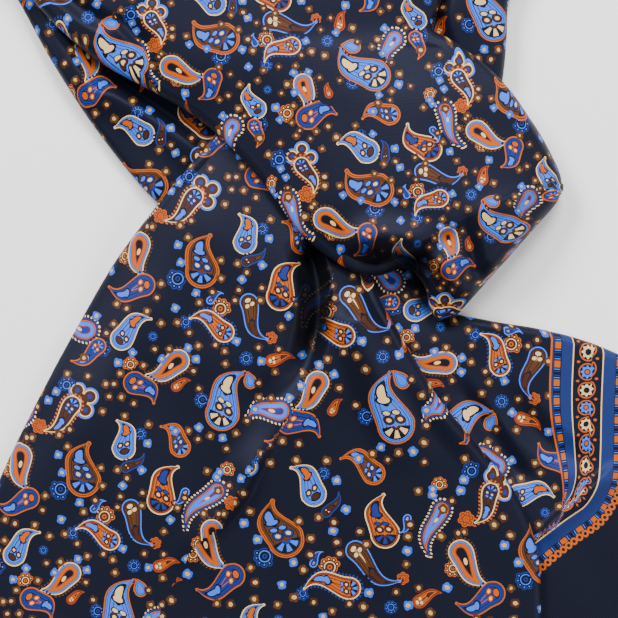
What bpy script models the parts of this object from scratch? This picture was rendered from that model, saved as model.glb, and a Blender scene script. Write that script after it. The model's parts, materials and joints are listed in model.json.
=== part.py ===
"""A silk shawl, folded in three lengthwise, doubled at half its length, laid round in a loop
and drawn through itself, lying flat. Millimetres in the tables, metres in the model, +Z up.
X runs to the right and Y up the laid-out shawl; Z = 0 is the surface that it lies on."""
import math
from collections import namedtuple

import bmesh
import bpy
import numpy as np
from mathutils import Vector
from mathutils.bvhtree import BVHTree

MM = 0.001

# The wall of folded cloth, and the air between walls that lie on each other or meet.
WALL = 1.2
REST_GAP = 0.6
SEAM_GAP = 0.3

# A folded edge: the steps round its roll, its least height halved, and how far the cloth
# runs back under it, which is less inside a tight corner.
ROLL_ANGLES = (45, 90, 135, 180)
LEAST_HALF = 1.6
LIP = 3.4
LEAST_LIP = 1.0
LIP_STEP = 0.5
LIP_AHEAD = 1.5
LIP_CLEAR = 1.4
LIP_END = 1.4

# The wide rolls of the two legs, and the flatter ones of the tails.
LEG_ROLL = 4.0
STRAND_ROLL = 3.5
BACK_ROLL = 3.0
TAIL_ROLL = 2.6
TAIL_FOLD_ROLL = 3.0
TURN_ROLL = 6.0
TURN_LEAN = 1.3
TURN_SHARE = 3

# The rolled hem along each tail's end.
HEM_RADIUS = 0.9
HEM_DROP = 0.4
HEM_SIDES = 8

# The layers hidden under the walls: the grid, how far in from the edge they stay, the
# steps of folded cloth at their rim, and the part of the floor they lie in.
CORE_PITCH = 9.0
CORE_GAP = 0.6
CORE_LEAST = 3.0
LAYERS_SEEN = 3
LAYER_STEP = 0.6
RIM_ROUNDS = 4
SINK_ROUNDS = 12
SINK_STEP = 1.0
KNOT_REACH = 6.0
KNOT_FIELD = ((-150, -210), (165, 150))
LOOP_REACH = 1.5
LOOP_INSET = 7.5
LOOP_FILL = 0.7
LOOP_POINTS = 5
LOOP_EVERY = 2

# How finely a fold's route is read, and where the cloth below is felt from.
ROUTE_STEPS = 24
PROBE = 2.5
SKY = 200.0

NAVY = (0.012, 0.014, 0.032, 1.0)
HEM_NAVY = (0.016, 0.020, 0.046, 1.0)
LAYER_NAVY = (0.008, 0.009, 0.020, 1.0)

# One section across a stretch: its edge a, its edge b, the height at each and at the crown.
Section = namedtuple("Section", "ax ay az bx by bz crown")

# One fold: its route over the plan, its rise (below zero for a valley), how far it reaches
# to the left and to the right of the route, and how it fades at its start and end.
Fold = namedtuple("Fold", "route rise left right sharp fade_in fade_out")

# a is the edge at the lower left, b the edge at the upper right; from the neck to the turn.
FRONT_LEG = [
    Section(-124, 146, 14, -14, 141, 14, 17),
    Section(-112, 128, 14, 30, 132, 14, 18),
    Section(-100, 112, 14, 47, 115, 14, 20),
    Section(-88, 99, 15, 44, 101, 15, 21),
    Section(-73, 87, 16, 51, 96, 17, 22),
    Section(-53, 76, 17, 63, 87, 18, 23),
    Section(-36, 65, 18, 73, 77, 19, 24),
    Section(-18, 47, 20, 81, 66, 18, 25),
    Section(-2, 26, 21, 86, 58, 17, 26),
    Section(13, 14, 18, 89, 52.5, 16, 26),
    Section(26, 10, 15, 91, 49, 15, 26),
    Section(37, 12, 14, 92.5, 46, 15, 25),
    Section(44, 6, 18, 93.5, 44, 14, 22),
    Section(48, -5, 14, 94.5, 42, 13, 19),
]
FRONT_FOLDS = [
    Fold([(10, 21), (24, 25), (38, 23), (48, 14), (53, 0)], 5.0, 14, 6, 1.5, 0.2, 0.2),
    Fold([(-69, 105), (-60, 95), (-57, 88), (-44, 74)], -2.5, 6, 4, 1.0, 0.1, 0.7),
    Fold([(-92, 116), (-78, 105), (-67, 100)], -3.0, 5, 5, 1.0, 0.1, 0.5),
    Fold([(54, 38), (57, 25), (59, 15), (57, 2)], -2.5, 5, 4, 1.2, 0.5, 0.1),
]

# a is the outer edge, b the edge under the front leg; from the neck to the knot.
BACK_LEG = [
    Section(-109, 118, 6, -82, 121, 4, 6),
    Section(-104, 110, 6, -75, 112, 4, 7),
    Section(-93, 90, 6, -62, 95, 4, 7),
    Section(-79, 68, 6, -45, 81, 4, 7),
    Section(-62, 46, 6, -28, 66, 4, 7),
    Section(-50, 34, 6, -17, 52, 4, 7),
    Section(-40, 24, 6, -10, 42, 4, 7),
]
BACK_FOLDS = [
    Fold([(-99, 108), (-79, 81), (-69, 76), (-54, 67), (-39, 56), (-28, 44)],
         2.6, 3, 12, 1.3, 0.2, 0.3),
    Fold([(-92, 108), (-72, 86), (-50, 71), (-34, 58)], -4.0, 4, 4, 1.0, 0.1, 0.3),
    Fold([(-73, 90), (-57, 77), (-37, 62)], 2.6, 4, 3, 1.3, 0.3, 0.3),
]

# a is the outer edge, b the edge at the hole of the loop; from the neck to the knot.
RIGHT_STRAND = [
    Section(89, 143, 9, 52, 146, 9, 12),
    Section(79, 126, 9, 45, 129, 9, 13),
    Section(72, 111, 10, 37, 113, 7, 13),
    Section(71, 98, 10, 35, 99, 7, 12),
    Section(70, 86, 10, 36, 87, 7, 11),
    Section(68, 73, 8, 40, 76, 7, 9),
]
RIGHT_STRAND_FOLDS = [
    Fold([(56, 138), (50, 120), (46, 107), (48, 96), (54, 84)], -3.5, 5, 6, 1.0, 0.3, 0.3),
]

# a is the fold along its top, b the edge under the left tail; from the knot to the hem.
RIGHT_TAIL = [
    Section(48, 26, 5, 12, 18, 5, 5),
    Section(50, 11, 5, 13, 2, 5, 5),
    Section(50, 0, 5, 21, -14, 5, 6),
    Section(64, -4, 7, 35, -36, 5, 6),
    Section(82, -7, 6, 48, -57, 5, 6),
    Section(98, -11, 6, 61, -79, 5, 6),
    Section(113, -17, 6, 68, -101, 5, 6),
    Section(134, -27, 5, 71, -130, 5, 6),
    Section(160, -44, 4, 75, -176, 4, 5),
]
RIGHT_TAIL_FOLDS = [
    Fold([(50, -22), (62, -40), (73, -56), (80, -66)], -2.6, 6, 7, 1.0, 0.3, 0.3),
    Fold([(66, -24), (84, -46), (104, -58)], -2.2, 8, 8, 1.0, 0.4, 0.3),
    Fold([(112, -54), (100, -65), (88, -76), (80, -84)], 3.2, 9, 3, 1.2, 0.2, 0.3),
]

# a is the outer left edge, b the fold over the right tail; from the knot to the hem.
LEFT_TAIL = [
    Section(-28, 70, 11, 20, 24, 9, 13),
    Section(-37, 58, 11, 24, 7, 11, 16),
    Section(-53, 39, 11, 32, -8, 14, 18),
    Section(-69, 18, 7, 39, -20, 15, 17),
    Section(-82, -4, 5, 48, -34, 14, 16),
    Section(-94, -26, 5, 60, -48, 13, 14),
    Section(-108, -54, 5, 74, -66, 12, 12),
    Section(-119, -80, 5, 82, -88, 11, 10),
    Section(-128, -104, 5, 83, -120, 10, 8),
    Section(-137, -134, 5, 82, -158, 8, 7),
    Section(-145, -166, 4, 77, -200, 6, 6),
]
LEFT_TAIL_FOLDS = [
    Fold([(-2, 26), (3, 8), (2, -10), (-6, -26), (-26, -40)], -9.0, 6, 9, 1.0, 0.1, 0.6),
    Fold([(15, 4), (20, -12), (28, -36), (36, -62)], 5.0, 16, 12, 1.0, 0.2, 0.6),
    Fold([(-3, -30), (-19, -55), (-27, -70), (-48, -96)], 4.5, 5, 13, 1.3, 0.4, 0.4),
    Fold([(23, 4), (33, -16), (45, -34), (60, -52), (74, -70)], 2.5, 7, 9, 1.2, 0.4, 0.5),
    Fold([(-30, 44), (-58, 0), (-84, -50), (-100, -84)], 1.8, 18, 16, 1.0, 0.4, 0.5),
]

# a is the outer edge, b the edge at the hole; from the left side over the top to the right.
NECK_LOOP = [
    Section(-124, 146, 14, -14, 141, 14, 17),
    Section(-130, 172, 12, -45, 163, 12, 15),
    Section(-129, 203, 10, -61, 190, 10, 13),
    Section(-119, 237, 9, -65, 216, 9, 12),
    Section(-96, 268, 8, -57, 238, 8, 11),
    Section(-60, 292, 8, -38, 253, 8, 11),
    Section(-18, 303, 8, -8, 262, 8, 11),
    Section(25, 301, 8, 18, 259, 8, 11),
    Section(64, 284, 8, 38, 246, 8, 11),
    Section(90, 254, 8, 49, 226, 8, 11),
    Section(100, 219, 8, 54, 203, 8, 11),
    Section(99, 182, 8, 54, 174, 8, 12),
    Section(89, 143, 9, 52, 146, 9, 12),
]
NECK_FOLDS = [
    Fold([(-106, 142), (-115, 200), (-100, 243), (-60, 276), (-10, 290)], -4.0, 7, 8, 1.0, 0.2, 0.4),
    Fold([(-90, 148), (-103, 200), (-92, 236), (-50, 266)], 2.6, 8, 8, 1.0, 0.3, 0.4),
    Fold([(-58, 148), (-84, 195), (-82, 222), (-62, 250), (-20, 272)], -3.6, 7, 7, 1.0, 0.2, 0.4),
    Fold([(0, 276), (40, 277), (68, 258), (83, 225), (85, 180), (78, 152)], -3.8, 7, 7, 1.0, 0.3, 0.3),
    Fold([(30, 270), (56, 250), (68, 222), (66, 185)], 2.2, 7, 7, 1.0, 0.4, 0.4),
]


def seam_share(row, other, seam):
    """A seam's gap as a share of the way between two sections, at their nearer edges."""
    edge_a = math.hypot(other.ax - row.ax, other.ay - row.ay)
    edge_b = math.hypot(other.bx - row.bx, other.by - row.by)
    return seam / min(edge_a, edge_b)


def along(sections, count, before=None, after=None, trims=(0.0, 0.0)):
    """Sections read from one smooth curve through the table's rows, and how they change.
    before and after are the sections past each end, and trims is the share left off there."""
    rows = np.array(sections, dtype=float)
    last = len(rows) - 1
    first = 2 * rows[0] - rows[1] if before is None else np.array(before, dtype=float)
    final = 2 * rows[-1] - rows[-2] if after is None else np.array(after, dtype=float)
    padded = np.vstack([first, rows, final])
    points = []
    slopes = []
    for place in np.linspace(trims[0], last - trims[1], count + 1):
        k = min(int(place), last - 1)
        t = place - k
        p0, p1, p2, p3 = padded[k:k + 4]
        c1 = p2 - p0
        c2 = 2 * p0 - 5 * p1 + 4 * p2 - p3
        c3 = 3 * p1 - p0 - 3 * p2 + p3
        points.append(p1 + (c1 * t + c2 * t ** 2 + c3 * t ** 3) / 2)
        slopes.append((c1 + 2 * c2 * t + 3 * c3 * t ** 2) / 2)
    return np.array(points), np.array(slopes)


def fold_rise(plan, fold):
    """What one fold adds to the height at each point of the plan."""
    curve = along(fold.route, ROUTE_STEPS)[0]
    start, step = curve[:-1], np.diff(curve, axis=0)
    length2 = (step ** 2).sum(axis=1)
    offset = plan[..., None, :] - start
    t = np.clip((offset * step).sum(axis=-1) / length2, 0, 1)
    apart = offset - t[..., None] * step
    distance = np.linalg.norm(apart, axis=-1)
    nearest = distance.argmin(axis=-1)
    pick = np.take_along_axis
    distance = pick(distance, nearest[..., None], -1)[..., 0]
    place = (nearest + pick(t, nearest[..., None], -1)[..., 0]) / len(step)
    chosen = pick(apart, nearest[..., None, None].repeat(2, -1), -2)[..., 0, :]
    turn = step[nearest]
    is_left = turn[..., 0] * chosen[..., 1] - turn[..., 1] * chosen[..., 0] > 0
    reach = np.where(is_left, fold.left, fold.right)
    near = np.clip(1 - distance / reach, 0, 1) ** fold.sharp
    shape = near * near * (3 - 2 * near)
    fade = np.clip(place / fold.fade_in, 0, 1) * np.clip((1 - place) / fold.fade_out, 0, 1)
    return fold.rise * shape * fade * fade * (3 - 2 * fade)


def unit(vectors):
    return vectors / np.maximum(np.linalg.norm(vectors, axis=-1, keepdims=True), 1e-9)


def right_of(vectors):
    return np.stack([vectors[..., 1], -vectors[..., 0]], axis=-1)


class Heap:
    """What lies on the surface so far, read from above or from below."""

    def __init__(self):
        self.trees = []

    def add(self, obj):
        depsgraph = bpy.context.evaluated_depsgraph_get()
        self.trees.append(BVHTree.FromObject(obj, depsgraph))

    def top(self, x, y):
        best = 0.0
        for tree in self.trees:
            hit = tree.ray_cast(Vector((x * MM, y * MM, SKY * MM)), Vector((0, 0, -1)))[0]
            if hit is not None:
                best = max(best, hit.z / MM)
        return best

    def top_near(self, x, y):
        around = ((x, y), (x + PROBE, y), (x - PROBE, y), (x, y + PROBE), (x, y - PROBE))
        return max(self.top(*place) for place in around)

    def underside(self, x, y):
        best = None
        for tree in self.trees:
            hit = tree.ray_cast(Vector((x * MM, y * MM, -SKY * MM)), Vector((0, 0, 1)))[0]
            if hit is not None and (best is None or hit.z / MM < best):
                best = hit.z / MM
        return best

    def sink(self, mesh):
        """Lowers a surface, a little at a time, until it lies clear under the walls."""
        for _ in range(SINK_ROUNDS):
            mesh.faces.ensure_lookup_table()
            tree = BVHTree.FromBMesh(mesh)
            touched = {face for wall in self.trees for face, _ in tree.overlap(wall)}
            if not touched:
                break
            for vert in {vert for face in touched for vert in mesh.faces[face].verts}:
                vert.co.z = max(vert.co.z - SINK_STEP * MM, CORE_LEAST * MM / 2)


def material(name, colour, roughness):
    made = bpy.data.materials.new(name)
    made.use_nodes = True
    shader = made.node_tree.nodes["Principled BSDF"]
    shader.inputs["Base Color"].default_value = colour
    shader.inputs["Roughness"].default_value = roughness
    shader.inputs["Metallic"].default_value = 0.0
    return made


def patch_points(rows, slopes, folds, across, sides, turn, lean):
    """The lit face of a stretch: plan points and heights, inside its rolled edges."""
    edge_a, edge_b = rows[:, 0:2], rows[:, 3:5]
    width = edge_b - edge_a
    normal_a = right_of(unit(slopes[:, 0:2]))
    normal_a *= np.sign((normal_a * width).sum(axis=-1, keepdims=True))
    normal_b = right_of(unit(slopes[:, 3:5]))
    normal_b *= -np.sign((normal_b * width).sum(axis=-1, keepdims=True))
    u = np.linspace(0, 1, across + 1)[None, :, None] ** lean
    shift_a = edge_a + normal_a * sides[0]
    shift_b = edge_b + normal_b * sides[1]
    plan = shift_a[:, None] * (1 - u) + shift_b[:, None] * u
    if turn:
        inward = right_of(unit(width[-1]))
        inward *= np.sign((inward * (edge_a[-2] - edge_a[-1])).sum())
        v = np.linspace(0, 1, len(rows))[:, None, None]
        plan = plan + inward * turn * v ** TURN_SHARE
    az, bz, crown = rows[:, 2:3], rows[:, 5:6], rows[:, 6:7]
    u = u[..., 0]
    height = az * (1 - u) + bz * u + (crown - (az + bz) / 2) * 4 * u * (1 - u)
    for fold in folds:
        height = height + fold_rise(plan, fold)
    return plan, height


def rim_runs(shape, sides, turn):
    """The rolled edges of a stretch, as runs of grid places with the roll at each."""
    last_row, last_column = shape[0] - 1, shape[1] - 1
    side_a = [(row, 0) for row in range(last_row, -1, -1)]
    side_b = [(row, last_column) for row in range(last_row + 1)]
    if turn:
        end = [(last_row, column) for column in range(last_column - 1, 0, -1)]
        rolls = [sides[1]] * len(side_b) + [turn] * len(end) + [sides[0]] * len(side_a)
        return [(side_b + end + side_a, rolls)]
    runs = [(side_a, [sides[0]] * len(side_a)), (side_b, [sides[1]] * len(side_b))]
    return [(cells, rolls) for cells, rolls in runs if rolls[0]]


def smooth_run(values, times):
    values = np.array(values, dtype=float)
    for _ in range(times):
        padded = np.concatenate([values[:1], values, values[-1:]])
        values = (padded[:-2] + 2 * values + padded[2:]) / 4
    return values


def widest_near(values):
    padded = np.concatenate([values[:1], values, values[-1:]])
    return np.maximum(np.maximum(padded[:-2], padded[1:-1]), padded[2:])


def crowded(points, place, distance):
    return np.linalg.norm(points - place, axis=-1).min() < distance


def lip_lengths(points, outward):
    """How far the cloth runs back under each point of the edge, less inside a tight corner."""
    lengths = []
    for point, out in zip(points, outward):
        length = LIP
        while length > LEAST_LIP and crowded(
                points, point - out * LIP_AHEAD * length, LIP_CLEAR * length):
            length -= LIP_STEP
        lengths.append(length)
    return -smooth_run(widest_near(-np.array(lengths)), 1)[:, None]


def rolled_rings(points, heights, inside, rolls, ends, heap):
    """Rings that carry the wall round its folded edge and under it, one for each angle."""
    steps = unit(np.diff(points, axis=0))
    heading = unit(np.vstack([steps[:1], steps[:-1] + steps[1:], steps[-1:]]))
    for place, slope in ends:
        heading[place] = slope * np.sign((heading[place] * slope).sum())
    outward = right_of(heading)
    outward *= -np.sign((outward * (inside - points)).sum())
    rolls = smooth_run(rolls, 3)[:, None]
    lips = lip_lengths(points, outward)
    feet = np.zeros(len(points))
    for reach in (rolls, rolls / 2, -lips / 2, -lips, -LIP_END * lips):
        feet = np.maximum(feet, [heap.top(x, y) for x, y in points + outward * reach])
    feet = np.where(feet > 0, feet + REST_GAP, 0.0)
    feet = smooth_run(widest_near(feet), 1)
    heights = np.maximum(heights, feet + 2 * LEAST_HALF)
    half = (heights - feet) / 2
    rings = []
    for angle in ROLL_ANGLES:
        turn = math.radians(angle)
        ring = points + outward * rolls * math.sin(turn)
        rings.append(np.column_stack([ring, heights - half * (1 - math.cos(turn))]))
    rings.append(np.column_stack([points - outward * lips, feet]))
    return heights, rings


def stretch(name, sections, folds, heap, across, length, sides,
            turn=0.0, lean=1.0, before=None, after=None, seam=0.0):
    """A stretch of the folded shawl: its lit face and rolled edges, as a closed wall."""
    trims = seam_share(*sections[:2], seam), seam_share(*sections[-2:], seam)
    rows, slopes = along(sections, length, before, after, trims)
    plan, height = patch_points(rows, slopes, folds, across, sides, turn, lean)
    for place in np.ndindex(height.shape):
        below = heap.top_near(*plan[place])
        if below:
            height[place] = max(height[place], below + WALL + REST_GAP)
    mesh = bmesh.new()
    grid = vertex_rows(mesh, np.dstack([plan, height]))
    skin(mesh, grid)
    slope_at = {0: slopes[:, 0:2], across: slopes[:, 3:5]}
    for cells, rolls in rim_runs(height.shape, sides, turn):
        points = np.array([plan[cell] for cell in cells])
        heights = np.array([height[cell] for cell in cells])
        inner = [(min(r, length - bool(turn)), min(max(c, 1), across - 1)) for r, c in cells]
        inside = np.array([plan[cell] for cell in inner])
        ends = [(k, unit(slope_at[cells[k][1]][cells[k][0]])) for k in (0, -1)]
        heights, rings = rolled_rings(points, heights, inside, rolls, ends, heap)
        rim = [grid[row][column] for row, column in cells]
        for vert, raised in zip(rim, heights):
            vert.co.z = raised * MM
        skin(mesh, [rim] + vertex_rows(mesh, rings))
    bmesh.ops.recalc_face_normals(mesh, faces=mesh.faces)
    top = max(mesh.faces, key=lambda face: face.calc_center_median().z)
    if top.normal.z < 0:
        bmesh.ops.reverse_faces(mesh, faces=mesh.faces)
    obj = as_object(name, mesh, material(name + " silk", NAVY, 0.42))
    thick = obj.modifiers.new("wall", "SOLIDIFY")
    thick.thickness = WALL * MM
    thick.offset = -1.0
    heap.add(obj)
    return plan, height


def vertex_rows(mesh, rows):
    return [[mesh.verts.new(Vector(point) * MM) for point in row] for row in rows]


def skin(mesh, rows):
    """Faces between each row of vertices and the next."""
    for near, far in zip(rows, rows[1:]):
        for k in range(len(near) - 1):
            mesh.faces.new((near[k], near[k + 1], far[k + 1], far[k]))


def as_object(name, mesh, finish):
    data = bpy.data.meshes.new(name)
    mesh.to_mesh(data)
    mesh.free()
    data.shade_smooth()
    data.materials.append(finish)
    obj = bpy.data.objects.new(name, data)
    bpy.context.scene.collection.objects.link(obj)
    return obj


def hem(name, plan, height):
    """The rolled hem along a tail's end, laid just past the wall."""
    outward = unit(plan[-1] - plan[-2])
    middle = plan[-1] + outward * (HEM_RADIUS + SEAM_GAP)
    level = height[-1] - WALL / 2 - HEM_DROP
    angles = np.linspace(0, 2 * math.pi, HEM_SIDES, endpoint=False)[None, :]
    out = outward[:, None] * (HEM_RADIUS * np.cos(angles))[..., None]
    lift = level[:, None] + HEM_RADIUS * np.sin(angles)
    mesh = bmesh.new()
    rings = vertex_rows(mesh, np.dstack([middle[:, None] + out, lift]))
    skin(mesh, [ring + ring[:1] for ring in rings])
    mesh.faces.new(rings[0])
    mesh.faces.new(rings[-1])
    bmesh.ops.recalc_face_normals(mesh, faces=mesh.faces)
    return as_object(name, mesh, material(name + " thread", HEM_NAVY, 0.5))


def core_height(heap, x, y, reach):
    """How high the hidden layers may come at a point, or None outside the walls."""
    least = None
    for dx in (-reach, 0.0, reach):
        for dy in (-reach, 0.0, reach):
            under = heap.underside(x + dx, y + dy)
            if under is None or under < CORE_LEAST + CORE_GAP:
                return None
            least = under if least is None else min(least, under)
    return least - CORE_GAP


def rim_edges(vert):
    return [edge for edge in vert.link_edges if edge.is_boundary]


def trim_core(mesh):
    """Leaves one piece of the grid, with no two cells that meet only at a corner."""
    while True:
        loose = [vert for vert in mesh.verts if not vert.link_faces or len(rim_edges(vert)) > 2]
        spurs = [face for face in mesh.faces if sum(edge.is_boundary for edge in face.edges) > 2]
        if not loose and not spurs:
            break
        bmesh.ops.delete(mesh, geom=spurs, context="FACES")
        bmesh.ops.delete(mesh, geom=[vert for vert in loose if vert.is_valid], context="VERTS")
    islands = []
    left = set(mesh.verts)
    while left:
        island, front = set(), [left.pop()]
        while front:
            vert = front.pop()
            island.add(vert)
            near = {edge.other_vert(vert) for edge in vert.link_edges} & left
            left -= near
            front.extend(near)
        islands.append(island)
    islands.sort(key=len)
    for island in islands[:-1]:
        bmesh.ops.delete(mesh, geom=list(island), context="VERTS")


def hidden_layers(name, heap, field, reach):
    """The layers folded away under the walls: one rounded solid, layered at its edge."""
    low, high = field
    mesh = bmesh.new()
    cells = [max(1, round((high[k] - low[k]) / CORE_PITCH)) for k in (0, 1)]
    bmesh.ops.create_grid(mesh, x_segments=cells[0], y_segments=cells[1], size=0.5)
    outside = []
    for vert in mesh.verts:
        x = low[0] + (vert.co.x + 0.5) * (high[0] - low[0])
        y = low[1] + (vert.co.y + 0.5) * (high[1] - low[1])
        top = core_height(heap, x, y, reach)
        if top is None:
            outside.append(vert)
        else:
            vert.co = Vector((x, y, top)) * MM
    bmesh.ops.delete(mesh, geom=outside, context="VERTS")
    trim_core(mesh)
    for _ in range(RIM_ROUNDS):
        moved = {}
        for vert in mesh.verts:
            near = [edge.other_vert(vert).co for edge in rim_edges(vert)]
            if near:
                moved[vert] = (vert.co.xy + (near[0].xy + near[1].xy) / 2) / 2
        for vert, place in moved.items():
            vert.co.xy = place
    heap.sink(mesh)
    close_in_layers(mesh)
    return as_object(name, mesh, material(name + " silk", LAYER_NAVY, 0.6))


def close_in_layers(mesh):
    """Takes the rim down to the surface in folded layers, and closes the flat underside."""
    edges = [edge for edge in mesh.edges if edge.is_boundary]
    steps = 2 * LAYERS_SEEN
    for step in range(steps):
        outward = {}
        for edge in edges:
            along_edge = (edge.verts[1].co - edge.verts[0].co).xy
            normal = Vector((along_edge.y, -along_edge.x, 0)).normalized()
            middle = (edge.verts[0].co + edge.verts[1].co) / 2
            if step == 0 and (edge.link_faces[0].calc_center_median() - middle).xy.dot(normal.xy) > 0:
                normal.negate()
            for vert in edge.verts:
                outward[vert] = outward.get(vert, Vector()) + normal
        if step == 0:
            push = {vert.co.xy.copy().freeze(): way.normalized() for vert, way in outward.items()}
        grown = bmesh.ops.extrude_edge_only(mesh, edges=edges)["geom"]
        edges = [item for item in grown if isinstance(item, bmesh.types.BMEdge) and item.is_boundary]
        side = -LAYER_STEP if step % 2 == 0 else LAYER_STEP
        moved = {}
        for vert in {vert for edge in edges for vert in edge.verts}:
            away = push[vert.co.xy.copy().freeze()]
            vert.co += away * side * MM
            vert.co.z *= (steps - step - 1) / (steps - step)
            moved[vert.co.xy.copy().freeze()] = away
        push = moved
    bmesh.ops.triangle_fill(mesh, edges=edges, use_beauty=True)
    bmesh.ops.recalc_face_normals(mesh, faces=mesh.faces)


def layered_edge(point, outward):
    """The edge of folded layers, from their top down to the surface."""
    steps = 2 * LAYERS_SEEN
    edge = []
    for step in range(1, steps + 1):
        side = LAYER_STEP * (step % 2)
        height = point[2] * (steps - step) / steps
        edge.append((point[0] + outward[0] * side, point[1] + outward[1] * side, height))
    return edge


def loop_layers(name, heap, plan):
    """The layers folded away inside the loop: one band, layered along both its edges."""
    rings = []
    for row in plan[1:-1:LOOP_EVERY]:
        across = row[-1] - row[0]
        inset = LOOP_INSET / np.linalg.norm(across)
        places = [row[0] + across * share for share in np.linspace(inset, 1 - inset, LOOP_POINTS)]
        heights = [core_height(heap, x, y, LOOP_REACH) for x, y in places]
        if None in heights:
            continue
        top = [(*place, height * LOOP_FILL) for place, height in zip(places, heights)]
        near_edge = layered_edge(top[0], -unit(across))
        far_edge = layered_edge(top[-1], unit(across))
        rings.append(near_edge[::-1] + top + far_edge)
    mesh = bmesh.new()
    rows = vertex_rows(mesh, rings)
    skin(mesh, [row + row[:1] for row in rows])
    mesh.faces.new(rows[0])
    mesh.faces.new(rows[-1])
    bmesh.ops.recalc_face_normals(mesh, faces=mesh.faces)
    return as_object(name, mesh, material(name + " silk", LAYER_NAVY, 0.6))


def centre_on_origin():
    """Puts the middle of the shawl's underside at the origin."""
    corners = [obj.matrix_world @ Vector(corner) for obj in bpy.data.objects for corner in obj.bound_box]
    low = [min(corner[axis] for corner in corners) for axis in range(3)]
    high = [max(corner[axis] for corner in corners) for axis in range(3)]
    offset = Vector(((low[0] + high[0]) / 2, (low[1] + high[1]) / 2, low[2]))
    for obj in bpy.data.objects:
        obj.location -= offset


def main():
    for obj in list(bpy.data.objects):
        bpy.data.objects.remove(obj)
    knot = Heap()
    stretch("back_leg", BACK_LEG, BACK_FOLDS, knot, 12, 16, (BACK_ROLL, 0.0))
    plan, height = stretch(
        "right_tail", RIGHT_TAIL, RIGHT_TAIL_FOLDS, knot, 14, 18, (TAIL_ROLL, 0.0))
    knot.add(hem("hem_right", plan, height))
    stretch("right_strand", RIGHT_STRAND, RIGHT_STRAND_FOLDS, knot, 8, 10,
            (STRAND_ROLL, STRAND_ROLL), before=NECK_LOOP[-2])
    plan, height = stretch(
        "left_tail", LEFT_TAIL, LEFT_TAIL_FOLDS, knot, 24, 24, (TAIL_ROLL, TAIL_FOLD_ROLL))
    hem("hem_left", plan, height)
    stretch("front_leg", FRONT_LEG, FRONT_FOLDS, knot, 20, 28, (LEG_ROLL, LEG_ROLL),
            turn=TURN_ROLL, lean=TURN_LEAN, before=NECK_LOOP[1])
    hidden_layers("inner_layers", knot, KNOT_FIELD, KNOT_REACH)
    loop = Heap()
    plan, height = stretch(
        "neck_loop", NECK_LOOP, NECK_FOLDS, loop, 11, 32, (LEG_ROLL, LEG_ROLL),
        before=FRONT_LEG[1], after=RIGHT_STRAND[1], seam=SEAM_GAP)
    loop_layers("neck_layers", loop, plan)
    bpy.context.view_layer.update()
    centre_on_origin()


main()
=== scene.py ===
"""A printed silk shawl, folded in three, doubled, drawn through itself and laid flat."""
import json
import math
from collections import namedtuple

import bmesh
import bpy
import numpy as np
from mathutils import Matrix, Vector
from mathutils.bvhtree import BVHTree


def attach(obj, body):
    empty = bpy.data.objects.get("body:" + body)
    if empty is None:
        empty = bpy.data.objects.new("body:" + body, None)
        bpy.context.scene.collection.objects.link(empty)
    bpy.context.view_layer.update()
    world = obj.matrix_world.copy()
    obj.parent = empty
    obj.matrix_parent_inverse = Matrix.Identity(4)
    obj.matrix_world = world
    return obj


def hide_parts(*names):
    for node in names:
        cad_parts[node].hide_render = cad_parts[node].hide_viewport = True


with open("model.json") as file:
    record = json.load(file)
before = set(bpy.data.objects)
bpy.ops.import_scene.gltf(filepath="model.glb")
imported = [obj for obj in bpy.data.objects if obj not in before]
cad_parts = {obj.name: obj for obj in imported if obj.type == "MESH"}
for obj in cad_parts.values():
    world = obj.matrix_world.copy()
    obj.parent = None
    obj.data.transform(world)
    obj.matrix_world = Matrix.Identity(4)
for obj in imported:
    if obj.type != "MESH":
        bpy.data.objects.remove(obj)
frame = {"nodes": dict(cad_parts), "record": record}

MM = 0.001

# The tables give the place of the flat face that the shawl rests on, in mm; the frame gives
# the same place in metres, and so where the tables' zero lies.
REST_PLACE = (-20.0, -80.0)
REST_FACE = frame["record"]["mounts"][0]["pos_m"]
TABLE_ORIGIN = [REST_FACE[axis] - REST_PLACE[axis] * MM for axis in (0, 1)]

# How far apart the points of the cloth are, in mm, and how thick its shell is.
PITCH = 1.25
THREAD_WALL = 0.42

# The wall of folded cloth, and the air between walls that lie on each other or meet.
WALL = 1.2
REST_GAP = 0.6
SEAM_GAP = 0.3

# A folded edge: the steps round its roll, its least height halved, and how far the cloth
# runs back under it, which is less inside a tight corner.
ROLL_ANGLES = tuple(range(15, 181, 15))
LEAST_HALF = 1.6
LIP = 3.4
LEAST_LIP = 1.0
LIP_STEP = 0.5
LIP_AHEAD = 1.5
LIP_CLEAR = 1.4
LIP_END = 1.4
EDGE_ROUNDS = 30
EDGE_WIDENING = 4

# The wide rolls of the two legs, and the flatter ones of the tails. The front leg's end is
# turned under: the roll there, how far the points crowd towards the left edge, and how late
# the turn sets in.
LEG_ROLL = 4.0
STRAND_ROLL = 3.5
BACK_ROLL = 3.0
TAIL_ROLL = 2.6
TAIL_FOLD_ROLL = 3.0
TURN_ROLL = 6.0
TURN_LEAN = 1.3
TURN_SHARE = 3

# How finely a fold's route is read, and a curve through pixels; how far the cloth leaves
# what it drapes over; and how its slight unevenness runs.
ROUTE_STEPS = 48
CURVE_STEPS = 12
DRAPE_REACH = 3
DRAPE_ROUNDS = 14
SKY = 200.0
RIPPLE = 0.22
RIPPLE_LENGTH = 19.0

# One section across a stretch: its edge a, its edge b, the height at each and at the crown.
Section = namedtuple("Section", "ax ay az bx by bz crown")

# One fold: its route over the plan, its rise (below zero for a valley), how far it reaches
# to the left and to the right of the route, and how it fades at its start and end.
Fold = namedtuple("Fold", "route rise left right sharp fade_in fade_out")

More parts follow.
